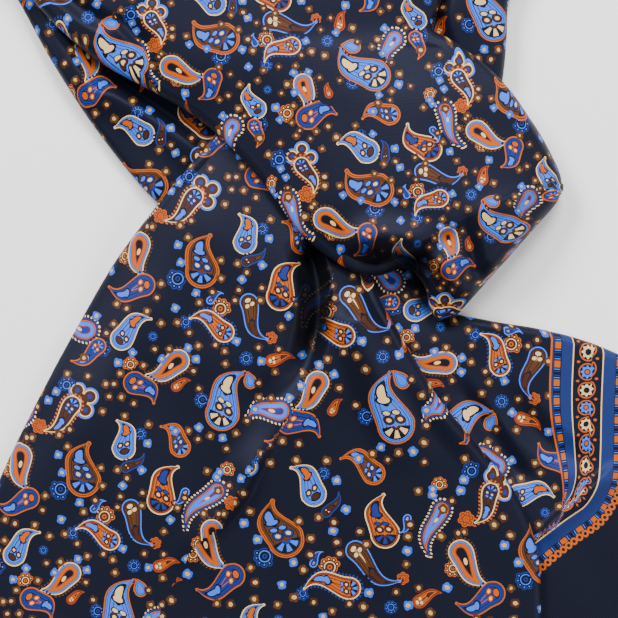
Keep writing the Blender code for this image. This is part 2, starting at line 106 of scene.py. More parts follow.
# a is the edge at the lower left, b the edge at the upper right; from the neck to the turn.
FRONT_LEG = [
    Section(-124, 146, 14, -14, 141, 14, 17),
    Section(-112, 128, 14, 30, 132, 14, 18),
    Section(-100, 112, 14, 47, 115, 14, 20),
    Section(-88, 99, 15, 44, 101, 15, 21),
    Section(-73, 87, 16, 51, 96, 17, 22),
    Section(-53, 76, 17, 63, 87, 18, 23),
    Section(-36, 65, 18, 73, 77, 19, 24),
    Section(-18, 47, 20, 81, 66, 18, 25),
    Section(-2, 26, 21, 86, 58, 17, 26),
    Section(13, 14, 18, 89, 52.5, 16, 26),
    Section(26, 10, 15, 91, 49, 15, 26),
    Section(37, 12, 14, 92.5, 46, 15, 25),
    Section(44, 6, 18, 93.5, 44, 14, 22),
    Section(48, -5, 14, 94.5, 42, 13, 19),
]
FRONT_FOLDS = [
    Fold([(10, 21), (24, 25), (38, 23), (48, 14), (53, 0)], 5.0, 14, 6, 1.5, 0.2, 0.2),
    Fold([(-69, 105), (-60, 95), (-57, 88), (-44, 74)], -2.5, 6, 4, 1.0, 0.1, 0.7),
    Fold([(-92, 116), (-78, 105), (-67, 100)], -3.0, 5, 5, 1.0, 0.1, 0.5),
    Fold([(54, 38), (57, 25), (59, 15), (57, 2)], -2.5, 5, 4, 1.2, 0.5, 0.1),
]

# a is the outer edge, b the edge under the front leg; from the neck to the knot.
BACK_LEG = [
    Section(-109, 118, 6, -82, 121, 4, 6),
    Section(-104, 110, 6, -75, 112, 4, 7),
    Section(-93, 90, 6, -62, 95, 4, 7),
    Section(-79, 68, 6, -45, 81, 4, 7),
    Section(-62, 46, 6, -28, 66, 4, 7),
    Section(-50, 34, 6, -17, 52, 4, 7),
    Section(-40, 24, 6, -10, 42, 4, 7),
]
BACK_FOLDS = [
    Fold([(-99, 108), (-79, 81), (-69, 76), (-54, 67), (-39, 56), (-28, 44)],
         2.6, 3, 12, 1.3, 0.2, 0.3),
    Fold([(-92, 108), (-72, 86), (-50, 71), (-34, 58)], -4.0, 4, 4, 1.0, 0.1, 0.3),
    Fold([(-73, 90), (-57, 77), (-37, 62)], 2.6, 4, 3, 1.3, 0.3, 0.3),
]

# a is the outer edge, b the edge at the hole of the loop; from the neck to the knot.
RIGHT_STRAND = [
    Section(89, 143, 9, 52, 146, 9, 12),
    Section(79, 126, 9, 45, 129, 9, 13),
    Section(72, 111, 10, 37, 113, 7, 13),
    Section(71, 98, 10, 35, 99, 7, 12),
    Section(70, 86, 10, 36, 87, 7, 11),
    Section(68, 73, 8, 40, 76, 7, 9),
]
RIGHT_STRAND_FOLDS = [
    Fold([(56, 138), (50, 120), (46, 107), (48, 96), (54, 84)], -3.5, 5, 6, 1.0, 0.3, 0.3),
]

# a is the fold along its top, b the edge under the left tail; from the knot to the hem.
RIGHT_TAIL = [
    Section(48, 26, 5, 12, 18, 5, 5),
    Section(50, 11, 5, 13, 2, 5, 5),
    Section(50, 0, 5, 21, -14, 5, 6),
    Section(64, -4, 7, 35, -36, 5, 6),
    Section(82, -7, 6, 48, -57, 5, 6),
    Section(98, -11, 6, 61, -79, 5, 6),
    Section(113, -17, 6, 68, -101, 5, 6),
    Section(134, -27, 5, 71, -130, 5, 6),
    Section(160, -44, 4, 75, -176, 4, 5),
]
RIGHT_TAIL_FOLDS = [
    Fold([(50, -22), (62, -40), (73, -56), (80, -66)], -2.6, 6, 7, 1.0, 0.3, 0.3),
    Fold([(66, -24), (84, -46), (104, -58)], -2.2, 8, 8, 1.0, 0.4, 0.3),
    Fold([(112, -54), (100, -65), (88, -76), (80, -84)], 3.2, 9, 3, 1.2, 0.2, 0.3),
]

# a is the outer left edge, b the fold over the right tail; from the knot to the hem.
LEFT_TAIL = [
    Section(-28, 70, 11, 20, 24, 9, 13),
    Section(-37, 58, 11, 24, 7, 11, 16),
    Section(-53, 39, 11, 32, -8, 14, 18),
    Section(-69, 18, 7, 39, -20, 15, 17),
    Section(-82, -4, 5, 48, -34, 14, 16),
    Section(-94, -26, 5, 60, -48, 13, 14),
    Section(-108, -54, 5, 74, -66, 12, 12),
    Section(-119, -80, 5, 82, -88, 11, 10),
    Section(-128, -104, 5, 83, -120, 10, 8),
    Section(-137, -134, 5, 82, -158, 8, 7),
    Section(-145, -166, 4, 77, -200, 6, 6),
]
LEFT_TAIL_FOLDS = [
    Fold([(-2, 26), (3, 8), (2, -10), (-6, -26), (-26, -40)], -9.0, 6, 9, 1.0, 0.1, 0.6),
    Fold([(15, 4), (20, -12), (28, -36), (36, -62)], 5.0, 16, 12, 1.0, 0.2, 0.6),
    Fold([(-3, -30), (-19, -55), (-27, -70), (-48, -96)], 4.5, 5, 13, 1.3, 0.4, 0.4),
    Fold([(23, 4), (33, -16), (45, -34), (60, -52), (74, -70)], 2.5, 7, 9, 1.2, 0.4, 0.5),
    Fold([(-30, 44), (-58, 0), (-84, -50), (-100, -84)], 1.8, 18, 16, 1.0, 0.4, 0.5),
]

# a is the outer edge, b the edge at the hole; from the left side over the top to the right.
NECK_LOOP = [
    Section(-124, 146, 14, -14, 141, 14, 17),
    Section(-130, 172, 12, -45, 163, 12, 15),
    Section(-129, 203, 10, -61, 190, 10, 13),
    Section(-119, 237, 9, -65, 216, 9, 12),
    Section(-96, 268, 8, -57, 238, 8, 11),
    Section(-60, 292, 8, -38, 253, 8, 11),
    Section(-18, 303, 8, -8, 262, 8, 11),
    Section(25, 301, 8, 18, 259, 8, 11),
    Section(64, 284, 8, 38, 246, 8, 11),
    Section(90, 254, 8, 49, 226, 8, 11),
    Section(100, 219, 8, 54, 203, 8, 11),
    Section(99, 182, 8, 54, 174, 8, 12),
    Section(89, 143, 9, 52, 146, 9, 12),
]
NECK_FOLDS = [
    Fold([(-106, 142), (-115, 200), (-100, 243), (-60, 276), (-10, 290)], -4.0, 7, 8, 1.0, 0.2, 0.4),
    Fold([(-90, 148), (-103, 200), (-92, 236), (-50, 266)], 2.6, 8, 8, 1.0, 0.3, 0.4),
    Fold([(-58, 148), (-84, 195), (-82, 222), (-62, 250), (-20, 272)], -3.6, 7, 7, 1.0, 0.2, 0.4),
    Fold([(0, 276), (40, 277), (68, 258), (83, 225), (85, 180), (78, 152)], -3.8, 7, 7, 1.0, 0.3, 0.3),
    Fold([(30, 270), (56, 250), (68, 222), (66, 185)], 2.2, 7, 7, 1.0, 0.4, 0.4),
]

# The printed cloth. A photo pixel is PIXEL mm on the surface, the lens LENS_HEIGHT above it.
PIXEL = 0.36
FRAME_PIXELS = 618
LENS_HEIGHT = 1800.0

# One repeat of the print, in pixels: u runs across the cloth and v along it.
REPEAT_LONG = (-20, 240)
REPEAT_ACROSS = (212, -5)

# A figure of the print: the middle of its round head, its tip, the head's radius, how far
# it bulges to its left as a share of its length, what fills it and its dye. One without a
# filling is plain inside its band.
Figure = namedtuple("Figure", "name u v tip_u tip_v radius bend filling dye")
FILLINGS = ("fan", "flame", "rings", "none")
PAISLEYS = [
    Figure("A", 53, 46, 37, 80, 9.5, 0.16, "fan", "brown"),
    Figure("D", 119, 66, 102, 43, 12.0, -0.24, "flame", "light_blue"),
    Figure("E", 92, 111, 84, 75, 17.0, 0.22, "fan", "great_brown"),
    Figure("G", 22, 112, 41, 140, 11.5, -0.16, "rings", "ringed"),
    Figure("F", 139, 157, 102, 159, 10.5, -0.22, "fan", "orange"),
    Figure("H", 148, 119, 181, 145, 9.5, -0.20, "flame", "slender"),
    Figure("C", 174, 100, 177, 62, 14.5, 0.24, "fan", "great_orange"),
    Figure("B", 175, 234, 176, 186, 17.5, 0.22, "fan", "great_blue"),
    Figure("I", 223, 68, 208, 115, 9.5, -0.16, "rings", "dashed"),
    Figure("J", 195, 163, 214, 151, 6.5, 0.14, "flame", "small_orange"),
    Figure("G3", 111, 203, 89, 229, 11.5, 0.16, "rings", "ringed"),
    Figure("D2", 50, 206, 67, 176, 11.5, 0.22, "flame", "light_blue"),
    Figure("K", 14, 212, -12, 232, 11.0, -0.20, "rings", "dashed"),
]
SECOND_FIGURES = [
    Figure("D_leaf", 128, 83, 140, 63, 5.5, -0.16, "flame", "leaf_brown"),
    Figure("X", 45, 148, 14, 164, 11.5, 0.24, "flame", "crescent"),
    Figure("X3", 82, 241, 108, 252, 12.0, 0.24, "flame", "crescent"),
    Figure("C_hook", 171, 42, 145, 31, 11.0, -0.26, "fan", "great_brown"),
    Figure("G_leaf", 121, 228, 131, 216, 5.0, 0.14, "flame", "small_orange"),
    Figure("K_brown", 32, 222, 14, 246, 8.0, 0.20, "fan", "crescent"),
    Figure("E_leaf", 112, 134, 121, 122, 4.0, 0.20, "flame", "leaf"),
    Figure("B_hook", 186, 193, 179, 184, 6.6, 0.0, "none", "hook"),
    Figure("I_leaf", 194, 82, 187, 97, 4.5, 0.20, "flame", "leaf"),
]

# Round figures, with petals set round their middle: the middle, the point that the middle
# petal's tip reaches, the angle between two petals, how far round they go, and the dye.
Floret = namedtuple("Floret", "u v tip_u tip_v step round dye")
FLORETS = [
    Floret(59, 39, 73, 25, 82, 125, "crown"),
    Floret(30, 78, 25, 72, 60, 180, "curl"),
    Floret(125, 137, 125, 126, 37, 80, "orange_fan"),
    Floret(73, 128, 66, 137, 37, 80, "blue_fan"),
    Floret(40, 30, 33, 24, 45, 95, "blue_fan"),
    Floret(151, 229, 143, 232, 37, 80, "blue_fan"),
    Floret(129, 46, 134, 42, 40, 180, "blue_fan"),
    Floret(77, 191, 82, 190, 40, 180, "blue_fan"),
    Floret(171, 172, 167, 178, 40, 180, "blue_fan"),
    Floret(184, 142, 189, 138, 60, 180, "curl"),
    Floret(100, 164, 96, 170, 45, 95, "blue_fan"),
    Floret(14, 130, 7, 134, 45, 95, "orange_fan"),
    Floret(224, 44, 226, 36, 45, 95, "orange_fan"),
    Floret(70, 226, 64, 220, 45, 95, "orange_fan"),
    Floret(36, 222, 44, 228, 45, 95, "blue_fan"),
]

# The buds strewn between the figures, by their dye: where each lies and which way it points,
# in degrees. Then a bud's radius and length.
BUDS = {
    "cream_bud": [
        (36, 20, 100), (76, 14, 80), (84, 40, 0), (52, 78, 300), (27, 91, 260), (121, 88, 270),
        (107, 36, 120), (65, 86, 170), (104, 93, 30), (112, 109, 350), (103, 140, 290),
        (8, 100, 140), (60, 140, 60), (29, 176, 260), (148, 174, 300), (188, 128, 60),
        (192, 100, 0), (158, 112, 200), (172, 24, 90), (133, 34, 180), (155, 186, 150),
        (200, 203, 20), (196, 246, 320), (174, 259, 270), (206, 54, 90), (203, 172, 300),
        (122, 181, 80), (98, 196, 150), (65, 238, 200), (76, 259, 260), (82, 222, 90),
        (60, 171, 100), (78, 176, 70), (36, 196, 160), (0, 204, 150), (24, 238, 300),
        (92, 168, 0), (12, 72, 300),
    ],
    "brown_bud": [
        (56, 14, 90), (84, 24, 30), (60, 69, 320), (133, 92, 290), (110, 125, 330), (22, 94, 90),
        (62, 154, 0), (40, 176, 280), (137, 172, 270), (134, 112, 180), (135, 123, 190),
        (177, 156, 260), (195, 88, 10), (154, 100, 180), (184, 28, 60), (193, 190, 30),
        (200, 230, 0), (143, 220, 180), (232, 58, 40), (196, 150, 90), (129, 206, 0),
        (64, 250, 210), (90, 260, 280), (84, 202, 0), (34, 207, 180), (108, 172, 260),
        (2, 30, 40),
    ],
    "blue_bud": [
        (33, 40, 180), (29, 51, 190), (144, 79, 330), (139, 52, 20), (59, 97, 190),
        (96, 133, 280), (69, 112, 180), (8, 150, 150), (154, 160, 0), (132, 101, 150),
        (190, 114, 340), (160, 30, 90), (202, 216, 10), (160, 256, 250), (186, 256, 300),
        (218, 50, 80), (186, 168, 200), (114, 187, 90), (126, 194, 30), (96, 208, 170),
        (58, 229, 200), (66, 214, 330), (16, 196, 90), (84, 156, 90), (5, 60, 0),
    ],
}
BUD_RADIUS = 4.2
BUD_LENGTH = 4.4

# What each dye colours: the beads outside the outline, the outline, the band inside it, the
# field, the strokes in the field and their hearts.
Dye = namedtuple("Dye", "name beads outline band field stroke heart")
DYES = [
    Dye("brown", "orange", "cream", "umber", "umber", "sky", "periwinkle"),
    Dye("light_blue", "navy", "cream", "sky", "sky", "orange", "umber"),
    Dye("great_brown", "navy", "orange", "orange", "olive", "sky", "periwinkle"),
    Dye("ringed", "olive", "cream", "sky", "orange", "navy", "cream"),
    Dye("orange", "periwinkle", "cream", "rust", "orange", "sky", "umber"),
    Dye("slender", "navy", "sky", "umber", "olive", "umber", "cream"),
    Dye("great_orange", "navy", "cream", "rust", "orange", "periwinkle", "umber"),
    Dye("great_blue", "navy", "orange", "sky", "sky", "cream", "umber"),
    Dye("hook", "navy", "orange", "sky", "sky", "sky", "sky"),
    Dye("dashed", "cream", "periwinkle", "orange", "sky", "periwinkle", "cream"),
    Dye("small_orange", "navy", "rust", "orange", "orange", "umber", "cream"),
    Dye("crescent", "navy", "orange", "periwinkle", "periwinkle", "sky", "orange"),
    Dye("crown", "navy", "sky", "cream", "umber", "periwinkle", "periwinkle"),
    Dye("orange_fan", "navy", "orange", "umber", "cream", "cream", "cream"),
    Dye("blue_fan", "navy", "periwinkle", "navy", "sky", "sky", "sky"),
    Dye("curl", "navy", "orange", "rust", "orange", "orange", "orange"),
    Dye("leaf", "navy", "sky", "periwinkle", "periwinkle", "sky", "cream"),
    Dye("leaf_brown", "navy", "periwinkle", "umber", "umber", "olive", "umber"),
    Dye("cream_bud", "navy", "olive", "straw", "straw", "straw", "umber"),
    Dye("brown_bud", "navy", "umber", "umber", "straw", "straw", "straw"),
    Dye("blue_bud", "navy", "bluebell", "bluebell", "straw", "straw", "straw"),
]
INKS = {
    "navy": "080A16",
    "sky": "3466D2",
    "periwinkle": "1A2A70",
    "blue": "19285C",
    "orange": "AC5000",
    "rust": "863200",
    "umber": "3C1E05",
    "olive": "4E2C06",
    "bluebell": "2C56B4",
    "cream": "D4B078",
    "straw": "B8955C",
}

# Where a figure of the print shows on a panel: its name, how many repeats across and along,
# and its head and tip, in pixels. Those of the left tail's left part are read in a frame
# that is turned against the photo's, in degrees, about a corner of its own.
Pin = namedtuple("Pin", "name across long x y tip_x tip_y")

LEFT_FRAME_CORNER = (170, 130)
LEFT_FRAME_TURN = 26.4
LEFT_PINS = [
    Pin("A", 0, 0, 53, 46, 37, 82), Pin("D", 0, 0, 119, 66, 101, 43),
    Pin("G", 0, 0, 22, 112, 41, 140), Pin("F", 0, 0, 139, 157, 101, 159),
    Pin("B", 0, 0, 175, 234, 176, 182), Pin("C", 0, 0, 178, 108, 178, 70),
    Pin("A", 0, 1, 27, 290, 20, 330), Pin("D", 0, 1, 97, 308, 79, 281),
    Pin("E", 0, 1, 80, 355, 60, 313), Pin("C", 0, 1, 155, 325, 152, 293),
    Pin("F", 0, 1, 140, 395, 100, 400), Pin("H", 0, 1, 122, 357, 150, 385),
    Pin("I", 0, 1, 203, 308, 188, 355), Pin("D2", 0, 1, 60, 460, 68, 425),
    Pin("B", 0, 1, 182, 455, 190, 408),
]
RIGHT_PINS = [
    Pin("H", 0, 0, 355, 295, 375, 322), Pin("F", 0, 0, 337, 336, 312, 330),
    Pin("B", 0, 0, 392, 418, 383, 374), Pin("C", 0, 1, 372, 512, 372, 478),
    Pin("A", 1, 1, 492, 508, 494, 548), Pin("D", 0, 1, 312, 505, 292, 488),
    Pin("E", 0, 1, 280, 549, 262, 515), Pin("H", 0, 1, 372, 548, 400, 572),
    Pin("I", 0, 1, 446, 520, 430, 552), Pin("J", 0, 1, 418, 598, 436, 588),
    Pin("G3", 0, 0, 318, 405, 322, 372),
]
UPPER_PINS = [
    Pin("A", 0, 0, 296, 172, 316, 204), Pin("A", 0, -1, 147, 20, 166, 44),
    Pin("A", 1, 0, 467, 65, 482, 95), Pin("D", 0, 0, 378, 158, 342, 146),
    Pin("D", 0, -1, 217, 15, 190, 8), Pin("D2", 0, -1, 258, 97, 248, 84),
    Pin("D2", 1, 0, 533, 215, 548, 180), Pin("E", 0, 0, 400, 207, 354, 174),
    Pin("E", 0, -1, 234, 42, 194, 36), Pin("H", 0, -1, 268, 22, 300, 9),
    Pin("H", 0, 0, 425, 178, 450, 172), Pin("F", 0, -1, 290, 47, 266, 62),
    Pin("F", 0, 0, 450, 232, 425, 240), Pin("B", 0, -1, 372, 60, 342, 36),
    Pin("C", 0, 0, 426, 136, 404, 108), Pin("G3", 0, -1, 310, 92, 322, 112),
    Pin("G", 0, -1, 165, 62, 196, 70), Pin("G", 1, 0, 490, 130, 513, 143),
    Pin("I", 0, 0, 452, 97, 464, 140), Pin("J", 0, 0, 467, 198, 475, 173),
    Pin("K", 0, -1, 215, 125, 196, 118), Pin("K", 1, 0, 500, 228, 510, 250),
    Pin("B", 0, 0, 519, 165, 488, 126),
]

# The cloth's height at the pins of each panel, in mm, how far a pin's correction reaches,
# and how much it is held back.
LEFT_HEIGHT = 8
RIGHT_HEIGHT = 13
UPPER_HEIGHT = 23
PIN_REACH = 38.0
PIN_HOLD = 0.25

# Small panels: the figure that is pinned, where its head shows, which way u runs there, in
# degrees clockwise from the photo's right, and the cloth's height.
Pinned = namedtuple("Pinned", "name x y turn height")
CREASE_PIN = Pinned("B", 131, 62, -40, 18)
BACK_PIN = Pinned("D", 143, 134, -40, 8)
STRAND_PIN = Pinned("B", 494, 24, -13, 12)
TAIL_PIN = Pinned("F", 500, 366, 62, 6)

# The dark line where the print on the left tail's left part meets that on its right, the
# crease at the front leg's upper left, and the two edges of the border on the right tail,
# each in pixels, with the cloth's height there in mm.
GROOVE = [
    (340, 180), (334, 262), (330, 293), (320, 318), (313, 347), (301, 372), (290, 415),
    (256, 463), (237, 496), (227, 522), (189, 555), (150, 640), (90, 800), (40, 960),
]
GROOVE_HEIGHT = 10
CREASE = [(112, -200), (113, 0), (125, 25), (144, 49), (149, 64), (152, 110)]
CREASE_HEIGHT = 20
BORDER_START = [
    (553, 250), (551, 336), (549, 387), (551, 422), (559, 462), (563, 493), (559, 519),
    (540, 535), (500, 568), (440, 625),
]
BORDER_END = [
    (636, 250), (631, 336), (628, 400), (627, 450), (625, 480), (618, 503), (603, 525),
    (578, 543), (554, 562), (530, 584), (450, 660),
]

# The border's width, how much of it, from its outer edge, keeps its width where the right
# tail turns under, and the least that the rest is squeezed into; its distance from the left
# tail's hem; and the colours of its stripes, each with the distance from the border's inner
# line at which it ends. NO_BORDER is a place well inside that line.
BORDER_HEIGHT = 5
BORDER = 29.0
OUTER_PART = 13.5
LEAST_INNER = 0.5
PLAIN_END = 9.0
STRIPES = [
    ("orange", 0.7), ("navy", 1.0), ("periwinkle", 1.4), ("navy", 4.2), ("blue", 8.2),
    ("cream", 8.7), ("navy", 19.1), ("cream", 19.6), ("blue", 24.0), ("navy", 40.0),
]
NO_BORDER = -50.0

# Painted shade where the cloth turns down out of the light, round the knot: each pocket is a fold whose
# rise darkens the colour toward black. Each pocket's middle line and its reach to both sides, in mm,
# and how dark the painted shade may get at the bottom of one.
PAINTED_SHADE_POCKETS = {
    "left_tail": [
        Fold([(5, 27), (2, 13), (1, 1), (-1, -9), (-7, -21)], 2.8, 9.5, 8.5, 1.0, 0.03, 0.5),
        Fold([(10, 24), (20, 14), (30, 8), (40, 4)], 1.6, 4, 6, 1.0, 0.2, 0.3),
    ],
    # On the front leg this painted shade stands for a dark hollow under the leg's edge that its cloth
    # does not have.
    "front_leg": [
        Fold([(15, 24), (24, 19), (33, 17), (41, 14), (45, 6)], 1.5, 5, 9, 1.0, 0.3, 0.3),
    ],
    "right_tail": [
        Fold([(48, 20), (44, 8), (40, -4)], 1.5, 8, 8, 1.0, 0.1, 0.4),
    ],
    "back_leg": [
        Fold([(-62, 100), (-40, 74), (-20, 52)], 1.2, 4, 5, 1.0, 0.3, 0.1),
    ],
}
MOST_PAINTED_SHADE = 0.97


def seam_share(row, other, seam):
    """A seam's gap as a share of the way between two sections, at their nearer edges."""
    edge_a = math.hypot(other.ax - row.ax, other.ay - row.ay)
    edge_b = math.hypot(other.bx - row.bx, other.by - row.by)
    return seam / min(edge_a, edge_b)


def along(sections, count, before=None, after=None, trims=(0.0, 0.0)):
    """Sections read from one smooth curve through the table's rows, and how they change.
    before and after are the sections past each end, and trims is the share left off there."""
    rows = np.array(sections, dtype=float)
    last = len(rows) - 1
    first = 2 * rows[0] - rows[1] if before is None else np.array(before, dtype=float)
    final = 2 * rows[-1] - rows[-2] if after is None else np.array(after, dtype=float)
    padded = np.vstack([first, rows, final])
    points = []
    slopes = []
    for place in np.linspace(trims[0], last - trims[1], count + 1):
        k = min(int(place), last - 1)
        t = place - k
        p0, p1, p2, p3 = padded[k:k + 4]
        c1 = p2 - p0
        c2 = 2 * p0 - 5 * p1 + 4 * p2 - p3
        c3 = 3 * p1 - p0 - 3 * p2 + p3
        points.append(p1 + (c1 * t + c2 * t ** 2 + c3 * t ** 3) / 2)
        slopes.append((c1 + 2 * c2 * t + 3 * c3 * t ** 2) / 2)
    return np.array(points), np.array(slopes)


def gone_along(points):
    """How far along a line each of its points lies."""
    return np.concatenate([[0.0], np.cumsum(np.linalg.norm(np.diff(points, axis=0), axis=1))])


def nearest_on(plan, curve):
    """For each point of the plan: its offset from a curve, its share of the way along it,
    and whether it lies on the curve's left."""
    start, step = curve[:-1], np.diff(curve, axis=0)
    length2 = (step ** 2).sum(axis=1)
    offset = plan[..., None, :] - start
    t = np.clip((offset * step).sum(axis=-1) / length2, 0, 1)
    apart = offset - t[..., None] * step
    distance = np.linalg.norm(apart, axis=-1)
    nearest = distance.argmin(axis=-1)
    pick = np.take_along_axis
    distance = pick(distance, nearest[..., None], -1)[..., 0]
    place = (nearest + pick(t, nearest[..., None], -1)[..., 0]) / len(step)
    chosen = pick(apart, nearest[..., None, None].repeat(2, -1), -2)[..., 0, :]
    turn = step[nearest]
    is_left = turn[..., 0] * chosen[..., 1] - turn[..., 1] * chosen[..., 0] > 0
    return distance, place, is_left


def fold_rise(plan, fold):
    """What one fold adds to the height at each point of the plan; for a pocket, how much painted shade
    it adds.
    """
    distance, place, is_left = nearest_on(plan, along(fold.route, ROUTE_STEPS)[0])
    reach = np.where(is_left, fold.left, fold.right)
    near = np.clip(1 - distance / reach, 0, 1) ** fold.sharp
    shape = near * near * (3 - 2 * near)
    fade = np.clip(place / fold.fade_in, 0, 1) * np.clip((1 - place) / fold.fade_out, 0, 1)
    return fold.rise * shape * fade * fade * (3 - 2 * fade)


def unit(vectors):
    return vectors / np.maximum(np.linalg.norm(vectors, axis=-1, keepdims=True), 1e-9)


def right_of(vectors):
    return np.stack([vectors[..., 1], -vectors[..., 0]], axis=-1)


class Heap:
    """What lies on the surface so far, read from above."""

    def __init__(self):
        self.trees = []

    def add(self, obj):
        depsgraph = bpy.context.evaluated_depsgraph_get()
        self.trees.append(BVHTree.FromObject(obj, depsgraph))

    def top(self, x, y):
        best = 0.0
        above = table_point((x, y, SKY))
        for tree in self.trees:
            hit = tree.ray_cast(above, Vector((0, 0, -1)))[0]
            if hit is not None:
                best = max(best, hit.z / MM)
        return best


def table_point(point):
    """A point of the tables as a place in the frame."""
    return Vector((point[0] * MM + TABLE_ORIGIN[0], point[1] * MM + TABLE_ORIGIN[1], point[2] * MM))


def patch_points(rows, slopes, across, sides, turn, lean):
    """The lit face of a stretch: plan points and heights, inside its rolled edges."""
    edge_a, edge_b = rows[:, 0:2], rows[:, 3:5]
    width = edge_b - edge_a
    normal_a = right_of(unit(slopes[:, 0:2]))
    normal_a *= np.sign((normal_a * width).sum(axis=-1, keepdims=True))
    normal_b = right_of(unit(slopes[:, 3:5]))
    normal_b *= -np.sign((normal_b * width).sum(axis=-1, keepdims=True))
    u = np.linspace(0, 1, across + 1)[None, :, None] ** lean
    shift_a = edge_a + normal_a * sides[0]
    shift_b = edge_b + normal_b * sides[1]
    plan = shift_a[:, None] * (1 - u) + shift_b[:, None] * u
    if turn:
        inward = right_of(unit(width[-1]))
        inward *= np.sign((inward * (edge_a[-2] - edge_a[-1])).sum())
        v = np.linspace(0, 1, len(rows))[:, None, None]
        plan = plan + inward * turn * v ** TURN_SHARE
    az, bz, crown = rows[:, 2:3], rows[:, 5:6], rows[:, 6:7]
    u = u[..., 0]
    height = az * (1 - u) + bz * u + (crown - (az + bz) / 2) * 4 * u * (1 - u)
    return plan, height


def ripple(plan):
    """The slight unevenness of laid silk: three slow waves that never line up."""
    x, y = plan[..., 0] / RIPPLE_LENGTH, plan[..., 1] / RIPPLE_LENGTH
    waves = np.sin(1.9 * x + 0.7 * y + 2 * np.sin(0.6 * y)) + np.sin(1.1 * y - 1.7 * x + 1.3)
    return RIPPLE * (waves + np.sin(3.1 * x + 2.3 * y + 1.5 * np.sin(x)) / 2)


def spread(values, reach):
    """The most within so many grid places each way."""
    rows, columns = values.shape
    for _ in range(reach):
        padded = np.pad(values, 1, mode="edge")
        values = np.max([padded[i:i + rows, k:k + columns] for i in range(3) for k in range(3)], axis=0)
    return values


def soften(values, rounds):
    for _ in range(rounds):
        padded = np.pad(values, 1, mode="edge")
        values = (padded[:-2, 1:-1] + padded[2:, 1:-1] + padded[1:-1, :-2] + padded[1:-1, 2:]) / 4
    return values


def drape(plan, height, heap):
    """Lifts the cloth clear over what it lies on, in a soft slope."""
    below = np.array([[heap.top(*place) for place in row] for row in plan])
    needed = np.where(below > 0, below + WALL + REST_GAP - height, 0.0)
    lift = np.maximum(needed, 0)
    smooth = soften(spread(lift, DRAPE_REACH), DRAPE_ROUNDS)
    return height + np.maximum(smooth, lift)


def rim_runs(shape, sides, turn):
    """The rolled edges of a stretch, as runs of grid places with the roll at each."""
    last_row, last_column = shape[0] - 1, shape[1] - 1
    side_a = [(row, 0) for row in range(last_row, -1, -1)]
    side_b = [(row, last_column) for row in range(last_row + 1)]
    if turn:
        end = [(last_row, column) for column in range(last_column - 1, 0, -1)]
        rolls = [sides[1]] * len(side_b) + [turn] * len(end) + [sides[0]] * len(side_a)
        return [(side_b + end + side_a, rolls)]
    runs = [(side_a, [sides[0]] * len(side_a)), (side_b, [sides[1]] * len(side_b))]
    return [(cells, rolls) for cells, rolls in runs if rolls[0]]


def smooth_run(values, times):
    values = np.array(values, dtype=float)
    for _ in range(times):
        padded = np.concatenate([values[:1], values, values[-1:]])
        values = (padded[:-2] + 2 * values + padded[2:]) / 4
    return values


def widest_near(values, times):
    for _ in range(times):
        padded = np.concatenate([values[:1], values, values[-1:]])
        values = np.maximum(np.maximum(padded[:-2], padded[1:-1]), padded[2:])
    return values


def crowded(points, place, distance):
    return np.linalg.norm(points - place, axis=-1).min() < distance


def lip_lengths(points, outward):
    """How far the cloth runs back under each point of the edge, less inside a tight corner."""
    lengths = []
    for point, out in zip(points, outward):
        length = LIP
        while length > LEAST_LIP and crowded(
                points, point - out * LIP_AHEAD * length, LIP_CLEAR * length):
            length -= LIP_STEP
        lengths.append(length)
    return -smooth_run(widest_near(-np.array(lengths), EDGE_WIDENING), EDGE_ROUNDS)[:, None]


def rolled_rings(points, heights, inside, rolls, heap):
    """Rings that carry the cloth round its folded edge and under it, one for each angle."""
    steps = unit(np.diff(points, axis=0))
    heading = unit(np.vstack([steps[:1], steps[:-1] + steps[1:], steps[-1:]]))
    outward = right_of(heading)
    outward *= -np.sign((outward * (inside - points)).sum())
    rolls = smooth_run(rolls, EDGE_ROUNDS)[:, None]
    lips = lip_lengths(points, outward)
    feet = np.zeros(len(points))
    for reach in (rolls, rolls / 2, -lips / 2, -lips, -LIP_END * lips):
        feet = np.maximum(feet, [heap.top(x, y) for x, y in points + outward * reach])
    feet = np.where(feet > 0, feet + REST_GAP, 0.0)
    feet = smooth_run(widest_near(feet, EDGE_WIDENING), EDGE_ROUNDS)
    heights = np.maximum(heights, feet + 2 * LEAST_HALF)
    half = (heights - feet) / 2
    rings = []
    for angle in ROLL_ANGLES:
        turn = math.radians(angle)
        ring = points + outward * rolls * math.sin(turn)
        rings.append(np.column_stack([ring, heights - half * (1 - math.cos(turn))]))
    rings.append(np.column_stack([points - outward * lips, feet]))
    return heights, rings


def extruded(mesh, rim):
    """Extrudes a run of edges, and gives the new vertices in the run's order."""
    edges = [mesh.edges.get(pair) for pair in zip(rim, rim[1:])]
    made = bmesh.ops.extrude_edge_only(mesh, edges=edges)["geom"]
    order = {vert: k for k, vert in enumerate(rim)}
    grown = [None] * len(rim)
    for item in made:
        if isinstance(item, bmesh.types.BMVert):
            for edge in item.link_edges:
                root = order.get(edge.other_vert(item))
                if root is not None:
                    grown[root] = item
    return grown


def at(values, cells):
    return np.array([values[cell] for cell in cells])


def lit_face(plan, height, places):
    """The lit face of a stretch as a grid, and its vertices by their row and column. Each
    keeps its place on the printed cloth."""
    last_row, last_column = height.shape[0] - 1, height.shape[1] - 1
    mesh = bmesh.new()
    printed = mesh.verts.layers.float_vector.new("print_place")
    bmesh.ops.create_grid(mesh, x_segments=last_column, y_segments=last_row, size=0.5)
    grid = {}
    for vert in mesh.verts:
        cell = round((vert.co.y + 0.5) * last_row), round((vert.co.x + 0.5) * last_column)
        grid[cell] = vert
        vert.co = table_point((*plan[cell], height[cell]))
        vert[printed] = Vector((*places[cell], 0))
    return mesh, grid


